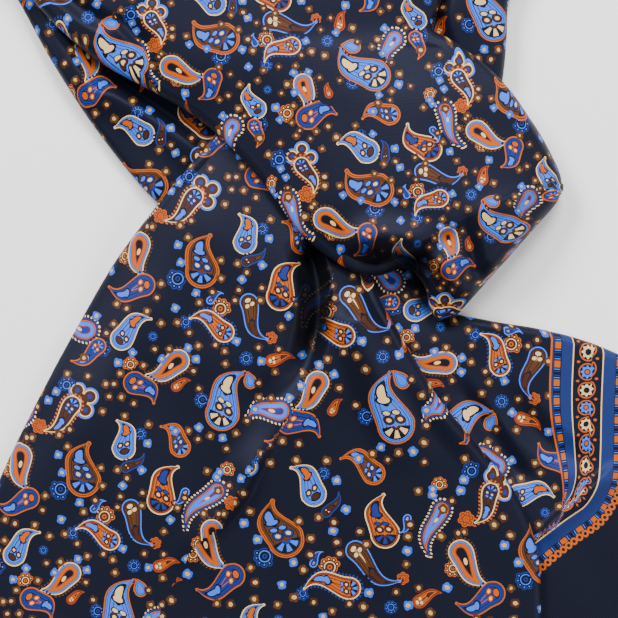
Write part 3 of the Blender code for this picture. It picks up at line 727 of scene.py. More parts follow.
def roll_edge(mesh, rim, inside, points, heights, edge_place, way, rolls, heap):
    """Carries the cloth on from one run of edges, round the roll and under it, and says how
    much cloth that takes on the whole."""
    printed = mesh.verts.layers.float_vector["print_place"]
    heights, rings = rolled_rings(points, heights, inside, rolls, heap)
    for vert, raised in zip(rim, heights):
        vert.co.z = raised * MM
    last = np.column_stack([points, heights])
    gone = np.zeros(len(rim))
    for ring in rings:
        gone = gone + np.linalg.norm(ring - last, axis=1)
        rim = extruded(mesh, rim)
        for k, vert in enumerate(rim):
            vert.co = table_point(ring[k])
            vert[printed] = Vector((*(edge_place[k] + way[k] * gone[k]), 0))
        last = ring
    return gone.mean()


def stretch(name, sections, folds, heap, sides, lay_out,
            turn=0.0, lean=1.0, before=None, after=None, seam=0.0):
    """A stretch of the shawl as a thin shell: its lit face and its rolled edges. lay_out
    gives the lit face's places on the printed cloth."""
    trims = seam_share(*sections[:2], seam), seam_share(*sections[-2:], seam)
    table = np.array(sections, dtype=float)
    longest = max(gone_along(table[:, k:k + 2])[-1] for k in (0, 3))
    widest = np.linalg.norm(table[:, 3:5] - table[:, 0:2], axis=1).max()
    length, across = math.ceil(longest / PITCH), math.ceil(widest / PITCH)
    rows, slopes = along(sections, length, before, after, trims)
    plan, height = patch_points(rows, slopes, across, sides, turn, lean)
    for fold in folds:
        height = height + fold_rise(plan, fold)
    height = drape(plan, height + ripple(plan), heap)
    places = lay_out(plan)
    mesh, grid = lit_face(plan, height, places)
    for cells, rolls in rim_runs(height.shape, sides, turn):
        inner = [(min(r, length - bool(turn)), min(max(c, 1), across - 1)) for r, c in cells]
        edge_place = at(places, cells)
        turned = roll_edge(
            mesh, [grid[cell] for cell in cells], at(plan, inner), at(plan, cells), at(height, cells),
            edge_place, unit(edge_place - at(places, inner)), rolls, heap)
    bmesh.ops.recalc_face_normals(mesh, faces=mesh.faces)
    top = max(mesh.faces, key=lambda face: face.calc_center_median().z)
    if top.normal.z < 0:
        bmesh.ops.reverse_faces(mesh, faces=mesh.faces)
    return as_object(name, mesh), plan, height, turned


def as_object(name, mesh):
    data = bpy.data.meshes.new(name)
    mesh.to_mesh(data)
    mesh.free()
    data.shade_smooth()
    obj = bpy.data.objects.new(name, data)
    bpy.context.scene.collection.objects.link(obj)
    return obj


def thicken(obj):
    shell = obj.modifiers.new("thickness", "SOLIDIFY")
    shell.thickness = THREAD_WALL * MM
    shell.offset = -1.0


def photo_point(x, y, height):
    """The tables' plan point that the camera shows at a pixel, on cloth of that height."""
    scale = PIXEL * (LENS_HEIGHT - height) / LENS_HEIGHT
    return np.array([(x - FRAME_PIXELS / 2) * scale, (FRAME_PIXELS / 2 - y) * scale])


def as_seen(x, y):
    return np.array([x, y], dtype=float)


def from_left_frame(x, y):
    """A pixel that was read in the left tail's own turned frame, as a pixel of the photo."""
    turn = math.radians(LEFT_FRAME_TURN)
    right = np.array([math.cos(turn), math.sin(turn)])
    down = np.array([-math.sin(turn), math.cos(turn)])
    return np.array(LEFT_FRAME_CORNER) + x * right + y * down


def repeat_shift(across, long):
    return across * np.array(REPEAT_ACROSS, dtype=float) + long * np.array(REPEAT_LONG, dtype=float)


def with_ones(chart):
    return np.column_stack([chart, np.ones(len(chart))])


def pinned_panel(pins, height, read=as_seen):
    """How the print lies on a panel: a plane fit through its pins, with a smooth correction
    near each. It gives plan points for places in the repeat, as the next two do."""
    known = {figure.name: figure for figure in PAISLEYS}
    chart = []
    plan = []
    for pin in pins:
        figure = known[pin.name]
        shift = repeat_shift(pin.across, pin.long)
        chart += [shift + (figure.u, figure.v), shift + (figure.tip_u, figure.tip_v)]
        plan += [photo_point(*read(*at), height) for at in ((pin.x, pin.y), (pin.tip_x, pin.tip_y))]
    fit = np.linalg.lstsq(with_ones(chart), np.array(plan), rcond=None)[0]
    fitted = with_ones(chart) @ fit
    left_over = np.array(plan) - fitted

    def place(chart):
        plain = with_ones(chart) @ fit
        apart = np.linalg.norm(plain[:, None] - fitted[None], axis=-1)
        weight = np.exp(-(apart / PIN_REACH) ** 2)
        return plain + weight @ left_over / (weight.sum(axis=1, keepdims=True) + PIN_HOLD)
    return place


def turned_panel(pin):
    """How the print lies on a small panel: turned about one pinned figure, at its full size."""
    figure = next(figure for figure in PAISLEYS if figure.name == pin.name)
    turn = math.radians(pin.turn)
    turned = PIXEL * np.array([
        [math.cos(turn), -math.sin(turn)], [-math.sin(turn), -math.cos(turn)]])
    middle = photo_point(pin.x, pin.y, pin.height)
    return lambda chart: middle + (chart - (figure.u, figure.v)) @ turned


def straight_panel(chart):
    """How the print lies on the loop, whose places are already across and along the cloth."""
    return chart * (PIXEL, -PIXEL)


# The repeats that are tried on every panel, across and along the cloth, and the layers in
# which the print is laid. DYE_ROWS gives each dye's row in the ramps.
REPEATS_ACROSS = range(-4, 5)
REPEATS_LONG = range(-6, 5)
LAYERS = ("florets", "paisleys", "seconds", "buds")
Laid = namedtuple("Laid", "head axis length radius bend filling dye")
DYE_ROWS = {dye.name: row for row, dye in enumerate(DYES)}

# How far past a panel's faces its figures are still laid, in mm; how much smaller or larger
# than life the pins may draw them; a figure's least length, as a share of its head's radius;
# and how many faces look for their nearest figure at a time.
PAST_FACES = 14.0
LEAST_SCALE = 0.85
MOST_SCALE = 1.08
LEAST_LENGTH = 0.75
CHUNK = 3000


def figures_of(layer):
    """A layer's figures in one form. A floret keeps its petals' step as its bend, and how
    far round they go as its filling."""
    if layer == "paisleys":
        return PAISLEYS
    if layer == "seconds":
        return SECOND_FIGURES
    made = []
    if layer == "florets":
        for floret in FLORETS:
            reach = math.hypot(floret.tip_u - floret.u, floret.tip_v - floret.v)
            step, round_it = math.radians(floret.step), math.radians(floret.round)
            made.append(Figure("floret", *floret[:4], reach, step, round_it, floret.dye))
        return made
    for dye, buds in BUDS.items():
        for u, v, degrees in buds:
            way = math.radians(degrees)
            tip = (u + BUD_LENGTH * math.cos(way), v - BUD_LENGTH * math.sin(way))
            made.append(Figure("bud", u, v, *tip, BUD_RADIUS, 0.0, "fan", dye))
    return made


def filling_number(filling):
    return float(FILLINGS.index(filling)) if filling in FILLINGS else filling


def laid_print(panel, layer, low, high):
    """Every repeat of a layer's figures that falls on the panel between two corners."""
    figures = figures_of(layer)
    heads, tips, which = [], [], []
    for across in REPEATS_ACROSS:
        for long in REPEATS_LONG:
            shift = repeat_shift(across, long)
            for row, figure in enumerate(figures):
                heads.append(shift + (figure.u, figure.v))
                tips.append(shift + (figure.tip_u, figure.tip_v))
                which.append(row)
    chart_length = np.linalg.norm(np.array(tips) - np.array(heads), axis=1)
    heads, tips = panel(np.array(heads)), panel(np.array(tips))
    near = ((heads > low - PAST_FACES) & (heads < high + PAST_FACES)).all(axis=1)
    way = (tips - heads)[near]
    length = np.linalg.norm(way, axis=1)
    size = np.clip(length / chart_length[near], LEAST_SCALE * PIXEL, MOST_SCALE * PIXEL)
    chosen = [figures[row] for row, is_near in zip(which, near) if is_near]
    radius = np.array([figure.radius for figure in chosen]) * size
    return Laid(
        heads[near], way / length[:, None], np.maximum(length, LEAST_LENGTH * radius), radius,
        np.array([figure.bend for figure in chosen]),
        np.array([filling_number(figure.filling) for figure in chosen]),
        np.array([(DYE_ROWS[figure.dye] + 0.5) / len(DYES) for figure in chosen]))


def nearest_laid(centres, laid):
    """Which laid figure reaches nearest to each place."""
    picks = []
    for first in range(0, len(centres), CHUNK):
        offset = centres[first:first + CHUNK, None] - laid.head[None]
        share = np.clip((offset * laid.axis).sum(axis=-1) / laid.length, 0, 1)
        apart = offset - (share * laid.length)[..., None] * laid.axis
        reach = np.linalg.norm(apart, axis=-1) - laid.radius * (1 - share)
        picks.append(reach.argmin(axis=1))
    return np.concatenate(picks)


def keep(mesh, name, domain, values):
    """Keeps up to three numbers for each corner, face or point of a mesh."""
    values = np.column_stack([values, np.zeros((len(values), 3 - values.shape[1]))])
    made = mesh.attributes.new(name, "FLOAT_VECTOR", domain)
    made.data.foreach_set("vector", values.astype(np.float32).ravel())


def print_layer(mesh, layer, panels, corners, corner_face, centres):
    """Keeps the layer's nearest figure for each face, and each corner's place in it."""
    form = np.zeros((len(centres), 3))
    dye = np.zeros((len(centres), 2))
    local = np.zeros((len(corners), 2))
    for panel, is_own in panels:
        own = is_own(centres)
        if not own.any():
            continue
        laid = laid_print(panel, layer, centres.min(axis=0), centres.max(axis=0))
        pick = np.zeros(len(centres), dtype=int)
        pick[own] = nearest_laid(centres[own], laid)
        form[own] = np.column_stack([laid.radius, laid.length, laid.bend])[pick[own]]
        dye[own] = np.column_stack([laid.dye, laid.filling])[pick[own]]
        mine = own[corner_face]
        picked = pick[corner_face[mine]]
        offset = corners[mine] - laid.head[picked]
        axis = laid.axis[picked]
        local[mine, 0] = (offset * right_of(axis)).sum(axis=1)
        local[mine, 1] = (offset * axis).sum(axis=1)
    keep(mesh, layer + "_place", "CORNER", local)
    keep(mesh, layer + "_form", "FACE", form)
    keep(mesh, layer + "_dye", "FACE", dye)


def print_cloth(mesh, panels, border, pockets):
    """Lays the print on a stretch. Each panel comes with a function that says which places
    are its own; border gives the place along and across the border, where there is one; pockets
    give the painted shade that darkens the colour."""
    places = np.zeros(len(mesh.vertices) * 3, dtype=np.float32)
    mesh.attributes["print_place"].data.foreach_get("vector", places)
    places = places.reshape(-1, 3)[:, :2].astype(float)
    corner_vertex = np.zeros(len(mesh.loops), dtype=np.int32)
    mesh.loops.foreach_get("vertex_index", corner_vertex)
    sides = np.zeros(len(mesh.polygons), dtype=np.int32)
    mesh.polygons.foreach_get("loop_total", sides)
    corner_face = np.repeat(np.arange(len(sides)), sides)
    corners = places[corner_vertex]
    centres = np.column_stack([
        np.bincount(corner_face, corners[:, axis], len(sides)) / sides for axis in (0, 1)])
    for layer in LAYERS:
        print_layer(mesh, layer, panels, corners, corner_face, centres)
    # Painted shade: how deep each point lies in the pockets, which later darkens its colour toward
    # black.
    shade = sum((fold_rise(places, pocket) for pocket in pockets), np.zeros(len(places)))
    keep(mesh, "pocket_shade", "POINT", np.clip(shade, 0, MOST_PAINTED_SHADE)[:, None])
    edge = border(places) if border else np.full((len(places), 2), NO_BORDER)
    keep(mesh, "border_place", "POINT", edge)


def photo_curve(pixels, height):
    """A smooth curve through pixels, with its points evenly spaced."""
    plan = [photo_point(x, y, height) for x, y in pixels]
    points = along(plan, CURVE_STEPS * len(pixels))[0]
    gone = gone_along(points)
    stops = np.linspace(0, gone[-1], len(points))
    return np.column_stack([np.interp(stops, gone, points[:, axis]) for axis in (0, 1)])


def everywhere(places):
    return np.ones(len(places), dtype=bool)


def beside(curve, on_left):
    """Chooses the places on one side of a curve."""
    return lambda places: nearest_on(places, curve)[2] == on_left


def border_between(start, end):
    """The border's places between its two edges. Its outer part keeps its width, and the
    rest is squeezed where the cloth turns away."""
    def place(places):
        to_start, share, past_start = nearest_on(places, start)
        to_end, end_share, past_end = nearest_on(places, end)
        is_outer = to_end < OUTER_PART
        inner = np.maximum(to_start + to_end - OUTER_PART, LEAST_INNER)
        squeezed = (BORDER - OUTER_PART) * to_start / inner
        across = np.where(is_outer, BORDER - to_end, squeezed)
        across = np.where(past_start, across, -to_start)
        across = np.where(past_end, BORDER + to_end, across)
        way = np.where(is_outer, end_share * gone_along(end)[-1], share * gone_along(start)[-1])
        return np.column_stack([way, across])
    return place


def border_before(hem_line):
    """The border's places a little way up from a tail's hem."""
    def place(places):
        distance, share, _ = nearest_on(places, hem_line)
        return np.column_stack([share * gone_along(hem_line)[-1], BORDER + PLAIN_END - distance])
    return place


def operator(operation, reflected=False):
    """One of a wire's operators; a reflected one has the other value first."""
    def apply(wire, other):
        values = (other, wire) if reflected else (wire, other)
        return wire.finish.maths(operation, *values)
    return apply


class Wire:
    """A socket of a material, with the operators that its formulas use."""

    def __init__(self, finish, socket):
        self.finish = finish
        self.socket = socket

    __add__ = __radd__ = operator("ADD")
    __sub__ = operator("SUBTRACT")
    __rsub__ = operator("SUBTRACT", reflected=True)
    __mul__ = __rmul__ = operator("MULTIPLY")
    __truediv__ = operator("DIVIDE")
    __pow__ = operator("POWER")
    __lt__ = operator("LESS_THAN")
    __gt__ = operator("GREATER_THAN")


class Finish:
    """A material's nodes."""

    def __init__(self, name):
        self.material = bpy.data.materials.new(name)
        self.material.use_nodes = True
        self.tree = self.material.node_tree
        self.shader = self.tree.nodes["Principled BSDF"]

    def node(self, kind, settings=None, inputs=None, output=0):
        """Any node: its settings first, then the values or wires of its sockets."""
        made = self.tree.nodes.new(kind)
        for key, value in (settings or {}).items():
            if key == "stops":
                set_stops(made.color_ramp, value)
            else:
                setattr(made, key, value)
        self.feed(made, inputs or {})
        return Wire(self, made.outputs[output])

    def feed(self, node, inputs):
        for key, value in inputs.items():
            if isinstance(value, Wire):
                self.tree.links.new(value.socket, node.inputs[key])
            else:
                node.inputs[key].default_value = value

    def maths(self, operation, *values):
        return self.node("ShaderNodeMath", {"operation": operation}, dict(enumerate(values)))

    def root(self, value):
        return self.maths("SQRT", value)

    def size(self, value):
        return self.maths("ABSOLUTE", value)

    def greatest(self, one, other):
        return self.maths("MAXIMUM", one, other)

    def least(self, one, other):
        return self.maths("MINIMUM", one, other)

    def reach(self, x, y):
        """How far a place lies from the middle that x and y are measured from."""
        return self.root(x * x + y * y)

    def choose(self, share, low, high):
        """low where share is 0 and high where it is 1, for numbers."""
        return low + share * (high - low)

    def mix(self, share, low, high):
        """The same for colours."""
        return self.node(
            "ShaderNodeMix", {"data_type": "RGBA", "clamp_factor": True},
            {0: share, 6: low, 7: high}, 2)

    def parts(self, vector):
        return [self.node("ShaderNodeSeparateXYZ", None, {0: vector}, axis) for axis in range(3)]

    def kept(self, name):
        """The three numbers of an attribute."""
        return self.parts(self.node("ShaderNodeAttribute", {"attribute_name": name}, None, 1))

    def noise(self, x, y, scale, detail):
        place = self.node("ShaderNodeCombineXYZ", None, {0: x, 1: y})
        return self.node(
            "ShaderNodeTexNoise", {"noise_dimensions": "2D"},
            {"Vector": place, "Scale": scale, "Detail": detail})


def set_stops(ramp, stops):
    ramp.interpolation = "CONSTANT"
    while len(ramp.elements) < len(stops):
        ramp.elements.new(1.0)
    for element, (position, colour) in zip(ramp.elements, stops):
        element.position = position
        element.color = colour


def linear(code):
    """A colour's hex number as the renderer's linear light."""
    shares = [int(code[k:k + 2], 16) / 255 for k in (0, 2, 4)]
    return (*[x / 12.92 if x <= 0.04045 else ((x + 0.055) / 1.055) ** 2.4 for x in shares], 1.0)


def ink(name):
    return linear(INKS[name])


def painted(finish, colour, row, paints):
    """Lays colours over each other in turn, each where its mask is 1. A paint is the name of
    an ink, or a role in the figure's own dye, which row gives."""
    made = {}
    for mask, name in paints:
        if name in INKS:
            made[name] = ink(name)
        elif name not in made:
            stops = [(k / len(DYES), ink(getattr(dye, name))) for k, dye in enumerate(DYES)]
            made[name] = finish.node("ShaderNodeValToRGB", {"stops": stops}, {"Fac": row})
        colour = finish.mix(mask, colour, made[name])
    return colour


# The beads round a paisley, in mm: their pitch, radius, distance from the outline, and how
# much they are squeezed along it.
BEAD_PITCH = 1.25
BEAD_RADIUS = 0.42
BEAD_OFFSET = 0.6
BEAD_SQUEEZE = 1.14

# Its lines from the outline inwards: how deep in each starts, in mm, and its paint. The lines
# after them are only in the fields with that filling; drawn ones hold a fan or a flame.
OUTLINE = 0.5
FIELD_EDGE = 1.15
LINES = [
    (0.0, "outline"), (OUTLINE, "navy"), (0.72, "band"), (FIELD_EDGE, "navy"), (1.3, "field"),
]
FILLING_LINES = [
    ("rings", 2.6, "rust"), ("rings", 2.9, "stroke"),
    ("drawn", 2.0, "navy"), ("drawn", 2.25, "field"),
    ("drawn", 3.3, "heart"), ("drawn", 3.55, "field"),
]

# Its tip's radius as a share of its head's, and how full its flanks are. BEND_PEAK brings the
# curve of a bend to 1 at its highest, and LEAST_RISE keeps a root above zero.
TIP_RADIUS = 0.14
FULLNESS = 0.75
BEND_PEAK = 6.75
LEAST_RISE = 0.01

# The fan in its head: how many rays, how far round it opens to each side, in radians, how
# much of each ray is painted, and its edge, its rays' ends and roots, and the hole in its
# middle, as shares of the head's radius.
FAN_RAYS = 7.0
FAN_OPENING = 1.45
RAY_FROM = -0.15
FAN_EDGE = 0.76
RAY_END = 0.68
RAY_ROOT = 0.26
FAN_HOLE = 0.1

# The spots in its field, from the head's radius r and the length l: how far each lies off
# the middle line and on from the head's middle, and its half width and half length.
SPOTS = {
    "core": lambda r, l: (0.0, l * 0.25, r * 0.16, r * 0.28),
    "pair": lambda r, l: (r * 0.3, r * 0.3, r * 0.14, r * 0.12),
    "top_pair": lambda r, l: (r * 0.25, r * 0.68, r * 0.19, r * 0.12),
    "flame": lambda r, l: (0.0, l * 0.62, r * 0.24, l * 0.19),
    "tongue": lambda r, l: (0.0, l * 0.5, r * 0.34, l * 0.07),
    "seat": lambda r, l: (0.0, r * -0.25, r * 0.34, r * 0.24),
    "notch": lambda r, l: (0.0, r * -0.75, r * 0.18, r * 0.3),
}

# What is painted round the spots, in turn: the filling, the spot, how far out the paint goes,
# where 1 is the spot's own edge, and the paint.
SPOT_PAINTS = [
    ("rings", "core", 1.0, "heart"),
    ("drawn", "pair", 2.1, "navy"), ("drawn", "pair", 1.75, "heart"),
    ("drawn", "pair", 0.95, "cream"),
    ("fan", "top_pair", 1.35, "navy"), ("fan", "top_pair", 0.95, "stroke"),
    ("drawn", "flame", 1.3, "navy"), ("drawn", "tongue", 1.3, "navy"),
    ("drawn", "flame", 0.92, "stroke"), ("drawn", "tongue", 0.92, "stroke"),
    ("flame", "seat", 1.25, "navy"), ("flame", "seat", 0.95, "heart"),
]


def teardrop(finish, layer):
    """A figure at its own size: the place in it, its head's radius and its length, how far
    the place is from its outline, below zero inside, and the way along its side."""
    x, y, _ = finish.kept(layer + "_place")
    radius, length, bend = finish.kept(layer + "_form")
    share = finish.node("ShaderNodeClamp", None, {"Value": y / length})
    x = x + bend * length * BEND_PEAK * share * share * (1 - share)
    away = finish.size(x)
    tip = radius * TIP_RADIUS
    slope = (radius - tip) / length
    rise = finish.root(finish.greatest(1 - slope * slope, LEAST_RISE))
    turn = y * rise - away * slope
    side = away * rise + y * slope - radius
    distance = finish.choose(turn > 0, finish.reach(x, y) - radius, side)
    round_tip = finish.reach(x, y - length) - tip
    distance = finish.choose(turn > rise * length, distance, round_tip)
    behind = finish.maths("ARCTAN2", finish.least(y, 0.0), away)
    way = finish.greatest(y, 0.0) + behind * radius
    distance = distance - radius * FULLNESS * share * (1 - share)
    return x, y, radius, length, distance, way


def spot(finish, name, x, y, radius, length):
    """How far out of a spot a place lies: 1 at its edge."""
    out, on, half_width, half_length = SPOTS[name](radius, length)
    return finish.reach((finish.size(x) - out) / half_width, (y - on) / half_length)


def painted_paisleys(finish, colour, layer):
    """Beads, outline, band and field, then the small work that fills the field."""
    x, y, radius, length, distance, way = teardrop(finish, layer)
    row, filling, _ = finish.kept(layer + "_dye")
    filled = (distance < -FIELD_EDGE) * (filling < FILLINGS.index("none") - 0.5)
    rings = filled * (filling > FILLINGS.index("rings") - 0.5)
    fan = filled * (filling < FILLINGS.index("fan") + 0.5)
    drawn = filled - rings
    fields = {"rings": rings, "fan": fan, "drawn": drawn, "flame": drawn - fan}
    bead_way = finish.maths("PINGPONG", way, BEAD_PITCH / 2) * BEAD_SQUEEZE
    paints = [(finish.reach(bead_way, distance - BEAD_OFFSET) < BEAD_RADIUS, "beads")]
    paints += [(distance < -depth, name) for depth, name in LINES]
    paints += [(fields[kind] * (distance < -depth), name) for kind, depth, name in FILLING_LINES]
    out = finish.reach(x, y) / radius
    angle = finish.maths("ARCTAN2", x, y * -1.0)
    rays = finish.maths("COSINE", angle * FAN_RAYS) > RAY_FROM
    opening = fan * (finish.size(angle) < FAN_OPENING)
    paints += [
        (opening * (out < FAN_EDGE) * (out > FAN_HOLE), "navy"),
        (opening * (out < RAY_END) * (out > RAY_ROOT) * rays, "stroke"),
        (opening * (out < RAY_ROOT) * (out > FAN_HOLE), "heart"),
    ]
    spots = {name: spot(finish, name, x, y, radius, length) for name in SPOTS}
    paints += [(fields[kind] * (spots[name] < edge), paint) for kind, name, edge, paint in SPOT_PAINTS]
    return painted(finish, colour, row, paints)


# A floret's petals, as shares of one petal's radius: how much they overlap, their lines, and
# the dot in each. Then the rings in its middle, as shares of the middle's radius.
PETAL_OVERLAP = 1.15
PETAL_LINE = 0.34
PETAL_DARK_LINE = 1.3
PETAL_BAND = 0.72
PETAL_DOT = 0.26
MIDDLE_RINGS = [(0.95, "band"), (0.5, "outline"), (0.22, "band")]


def painted_florets(finish, colour):
    """Round figures: one petal, repeated round the middle as far as the figure goes."""
    x, y, _ = finish.kept("florets_place")
    radius, _, step = finish.kept("florets_form")
    row, limit, _ = finish.kept("florets_dye")
    angle = finish.maths("ARCTAN2", x, y)
    last = finish.maths("FLOOR", limit / step)
    turns = finish.least(finish.maths("ROUND", angle / step), last)
    folded = angle - finish.greatest(turns, last * -1.0) * step
    out = finish.reach(x, y)
    half = finish.maths("SINE", step / 2)
    petal = radius * half / (half + 1.0) * PETAL_OVERLAP
    off_y = out * finish.maths("COSINE", folded) - (radius - petal)
    in_petal = finish.reach(out * finish.maths("SINE", folded), off_y)
    distance = finish.least(in_petal - petal, out - (radius - petal))
    line = finish.least(petal * PETAL_LINE, OUTLINE)
    band = finish.least(petal * PETAL_BAND, FIELD_EDGE)
    middle = radius - petal * 2.0
    paints = [
        (distance < 0, "outline"),
        (distance + line < 0, "navy"),
        (distance + line * PETAL_DARK_LINE < 0, "band"),
        (distance + band < 0, "field"),
        (in_petal < petal * PETAL_DOT, "heart"),
    ]
    paints += [(out < middle * share, name) for share, name in MIDDLE_RINGS]
    return painted(finish, colour, row, paints)


# A bud's four lobes: how deep they are, and how deep in its field starts, in mm.
LOBES = 4.0
LOBE_DEPTH = 0.17
BUD_FIELD = 0.95


def painted_buds(finish, colour):
    """Small round buds with four lobes and a notch at the stem."""
    x, y, radius, length, distance, _ = teardrop(finish, "buds")
    row = finish.kept("buds_dye")[0]
    lobes = finish.maths("COSINE", finish.maths("ARCTAN2", x, y) * LOBES) * LOBE_DEPTH
    notch = spot(finish, "notch", x, y, radius, length)
    paints = [
        (distance + lobes < 0, "outline"), (distance < -BUD_FIELD, "field"), (notch < 1.0, "outline")]
    return painted(finish, colour, row, paints)


# The border's small work, in mm. Its ladders: the middle and half width of each, their pitch,
# and how far along half a rung each colour starts and ends.
LADDERS = [(2.75, 1.1), (25.2, 0.9)]
LADDER_PITCH = 3.4
RUNGS = [(-1.0, 0.36, "orange"), (0.5, 0.6, "sky"), (0.74, 0.84, "periwinkle")]

# Its ring flowers: their row, their pitch, the edges of the ring, the petals, the eye and the
# heart, and the dots between two flowers, at their distance from the row.
ROSETTE_MIDDLE = 13.9
ROSETTE_PITCH = 7.2
ROSETTE_RADIUS = 3.3
ROSETTE_FIELD = 2.8
ROSETTE_PETALS = 8.0
PETAL_REACH = 2.2
PETAL_WAVE = 0.35
ROSETTE_EYE = 1.15
ROSETTE_HEART = 0.8
DOT_OFF = 3.4
DOT_SIZE = 0.5

# Its scallops: their row, their pitch, how flat they are, and their edges.
SCALLOP_MIDDLE = 27.6
SCALLOP_PITCH = 2.4
SCALLOP_FLATNESS = 0.894
SCALLOP_RADIUS = 1.25
SCALLOP_HOLE = 0.55


def painted_border(finish, colour):
    """Stripes, with two ladders, a row of ring flowers and a row of scallops over them."""
    way, across, _ = finish.kept("border_place")
    reach = STRIPES[-1][1]
    starts = [0.0] + [end / reach for _, end in STRIPES[:-1]]
    stops = [(start, ink(name)) for start, (name, _) in zip(starts, STRIPES)]
    stripes = finish.node("ShaderNodeValToRGB", {"stops": stops}, {"Fac": across / reach})
    rung = finish.maths("PINGPONG", way, LADDER_PITCH) / LADDER_PITCH
    paints = []
    for middle, half in LADDERS:
        beam = finish.size(across - middle) < half
        paints += [(beam * (rung > start) * (rung < end), name) for start, end, name in RUNGS]
    every_other = finish.maths("MODULO", finish.maths("FLOOR", way / ROSETTE_PITCH + 0.5), 2.0)
    ring_way = finish.maths("PINGPONG", way, ROSETTE_PITCH / 2)
    ring_off = across - ROSETTE_MIDDLE
    ring = finish.reach(ring_way, ring_off)
    angle = finish.maths("ARCTAN2", ring_way, ring_off)
    petals = ring < finish.maths("COSINE", angle * ROSETTE_PETALS) * PETAL_WAVE + PETAL_REACH
    heart = ring < ROSETTE_HEART
    dot = finish.size(ring_way - ROSETTE_PITCH / 2) + (finish.size(ring_off) - DOT_OFF) ** 2
    arch_way = finish.maths("PINGPONG", way, SCALLOP_PITCH / 2)
    arch = finish.reach(arch_way, (across - SCALLOP_MIDDLE) * SCALLOP_FLATNESS)
    paints += [
        (ring < ROSETTE_RADIUS, "orange"), (ring < ROSETTE_FIELD, "navy"),
        (petals, "sky"), (petals * every_other, "cream"),
        (ring < ROSETTE_EYE, "navy"), (heart, "orange"), (heart * every_other, "navy"),
        (dot < DOT_SIZE, "orange"), (arch < SCALLOP_RADIUS, "orange"), (arch < SCALLOP_HOLE, "navy"),
    ]
    return finish.mix(across > 0, colour, painted(finish, stripes, None, paints))


# The weave. Its diagonal ribs: how wide one is, in mm, how steep, how much the slant widens
# it, and how deep the weave reads, in metres. Its slubs are noise, drawn out along the cloth.
RIB_WIDTH = 0.62
RIB_SLANT = 1.6
SLANT_WIDENS = 1.9
RIB_SHARE = 0.5
SLUB_ACROSS = 0.15
SLUB_ALONG = 2.2
WEAVE_DEPTH = 0.00007
WEAVE_STRENGTH = 0.45

# The silk's dull gloss, which changes slowly from place to place, its cool shine and its
# faint bloom.
ROUGH_LEAST = 0.5
ROUGH_MOST = 0.6
CLOUD = 0.05
SHINE = {
    "Specular IOR Level": 0.24, "Specular Tint": (0.55, 0.6, 0.9, 1.0),
    "Sheen Weight": 0.02, "Sheen Roughness": 0.4,
}

# The ground under the print, the hems' silk and thread, and the silk that lies folded away:
# each is mottled between two near colours. Then the black of the painted shade in the pockets round the
# knot.
GROUND = "090B19"
PRINTED_GRAIN = 1.3
PLAIN_GRAIN = 1.1
HEM_SILK = "0E1226"
DARK_SILK = "10142A"
PAINTED_SHADE = (0.0, 0.0, 0.0, 1.0)


def woven(finish, colour, x, y):
    """The twill's finish in a colour, on the cloth's own places across and along it."""
    rib = finish.maths("SINE", (x + y * RIB_SLANT) * (2 * math.pi / RIB_WIDTH / SLANT_WIDENS))
    slub = finish.noise(x * SLUB_ACROSS, y * SLUB_ALONG, 1.0, 2.0)
    weave = finish.node("ShaderNodeBump", None, {
        "Height": rib * RIB_SHARE + slub, "Strength": WEAVE_STRENGTH, "Distance": WEAVE_DEPTH})
    cloud = finish.noise(x * CLOUD, y * CLOUD, 1.0, 3.0)
    rough = finish.choose(cloud, ROUGH_LEAST, ROUGH_MOST)
    finish.feed(finish.shader, {"Base Color": colour, "Roughness": rough, "Normal": weave, **SHINE})
    return finish.material


def printed_silk(name, border=False):
    """The printed twill of one stretch, with painted shade in the pockets round the knot."""
    finish = Finish(name)
    x, y, _ = finish.kept("print_place")
    colour = finish.mix(finish.noise(x, y, PRINTED_GRAIN, 2.0), ink("navy"), linear(GROUND))
    colour = painted_florets(finish, colour)
    for layer in ("paisleys", "seconds"):
        colour = painted_paisleys(finish, colour, layer)
    colour = painted_buds(finish, colour)
    if border:
        colour = painted_border(finish, colour)
    # Painted shade: the colour is darkened toward black in the pockets round the knot.
    colour = finish.mix(finish.kept("pocket_shade")[0], colour, PAINTED_SHADE)
    return woven(finish, colour, x, y)


def plain_silk(name, code):
    """Unprinted twill, for the rolled hems and for what lies folded away."""
    finish = Finish(name)
    x, y, _ = [axis / MM for axis in finish.parts(finish.node("ShaderNodeTexCoord", output="Object"))]
    colour = finish.mix(finish.noise(x, y, PLAIN_GRAIN, 2.0), linear(code), ink("navy"))
    return woven(finish, colour, x, y)


def as_laid(plan):
    return plan


def unrolled(plan):
    """The loop's places across and along its cloth, laid out straight."""
    across = np.linalg.norm(plan - plan[:, :1], axis=-1)
    gone = gone_along(plan[:, plan.shape[1] // 2])
    return np.dstack([across, np.repeat(gone[:, None], plan.shape[1], axis=1)])


# The rolled hem, in mm: its radius, how many of its radii its middle lies past the last
# thread, how far it hangs below the wall's middle, and its least height over the surface. It
# is pinched by a share of its radius at each stitch.
HEM_RADIUS = 0.9
HEM_OUT = 0.7
HEM_DROP = 0.4
HEM_LEAST = 0.02
HEM_SIDES = 10
PINCH = 0.16
PINCH_SHARPNESS = 6

# The hem's stitches: their pitch, length and width, what share of one lies on the cloth, and
# how flat the thread lies.
STITCH_PITCH = 4.5
STITCH_LENGTH = 1.6
STITCH_WIDTH = 0.22
STITCH_INSIDE = 0.6
STITCH_FLATNESS = 0.8


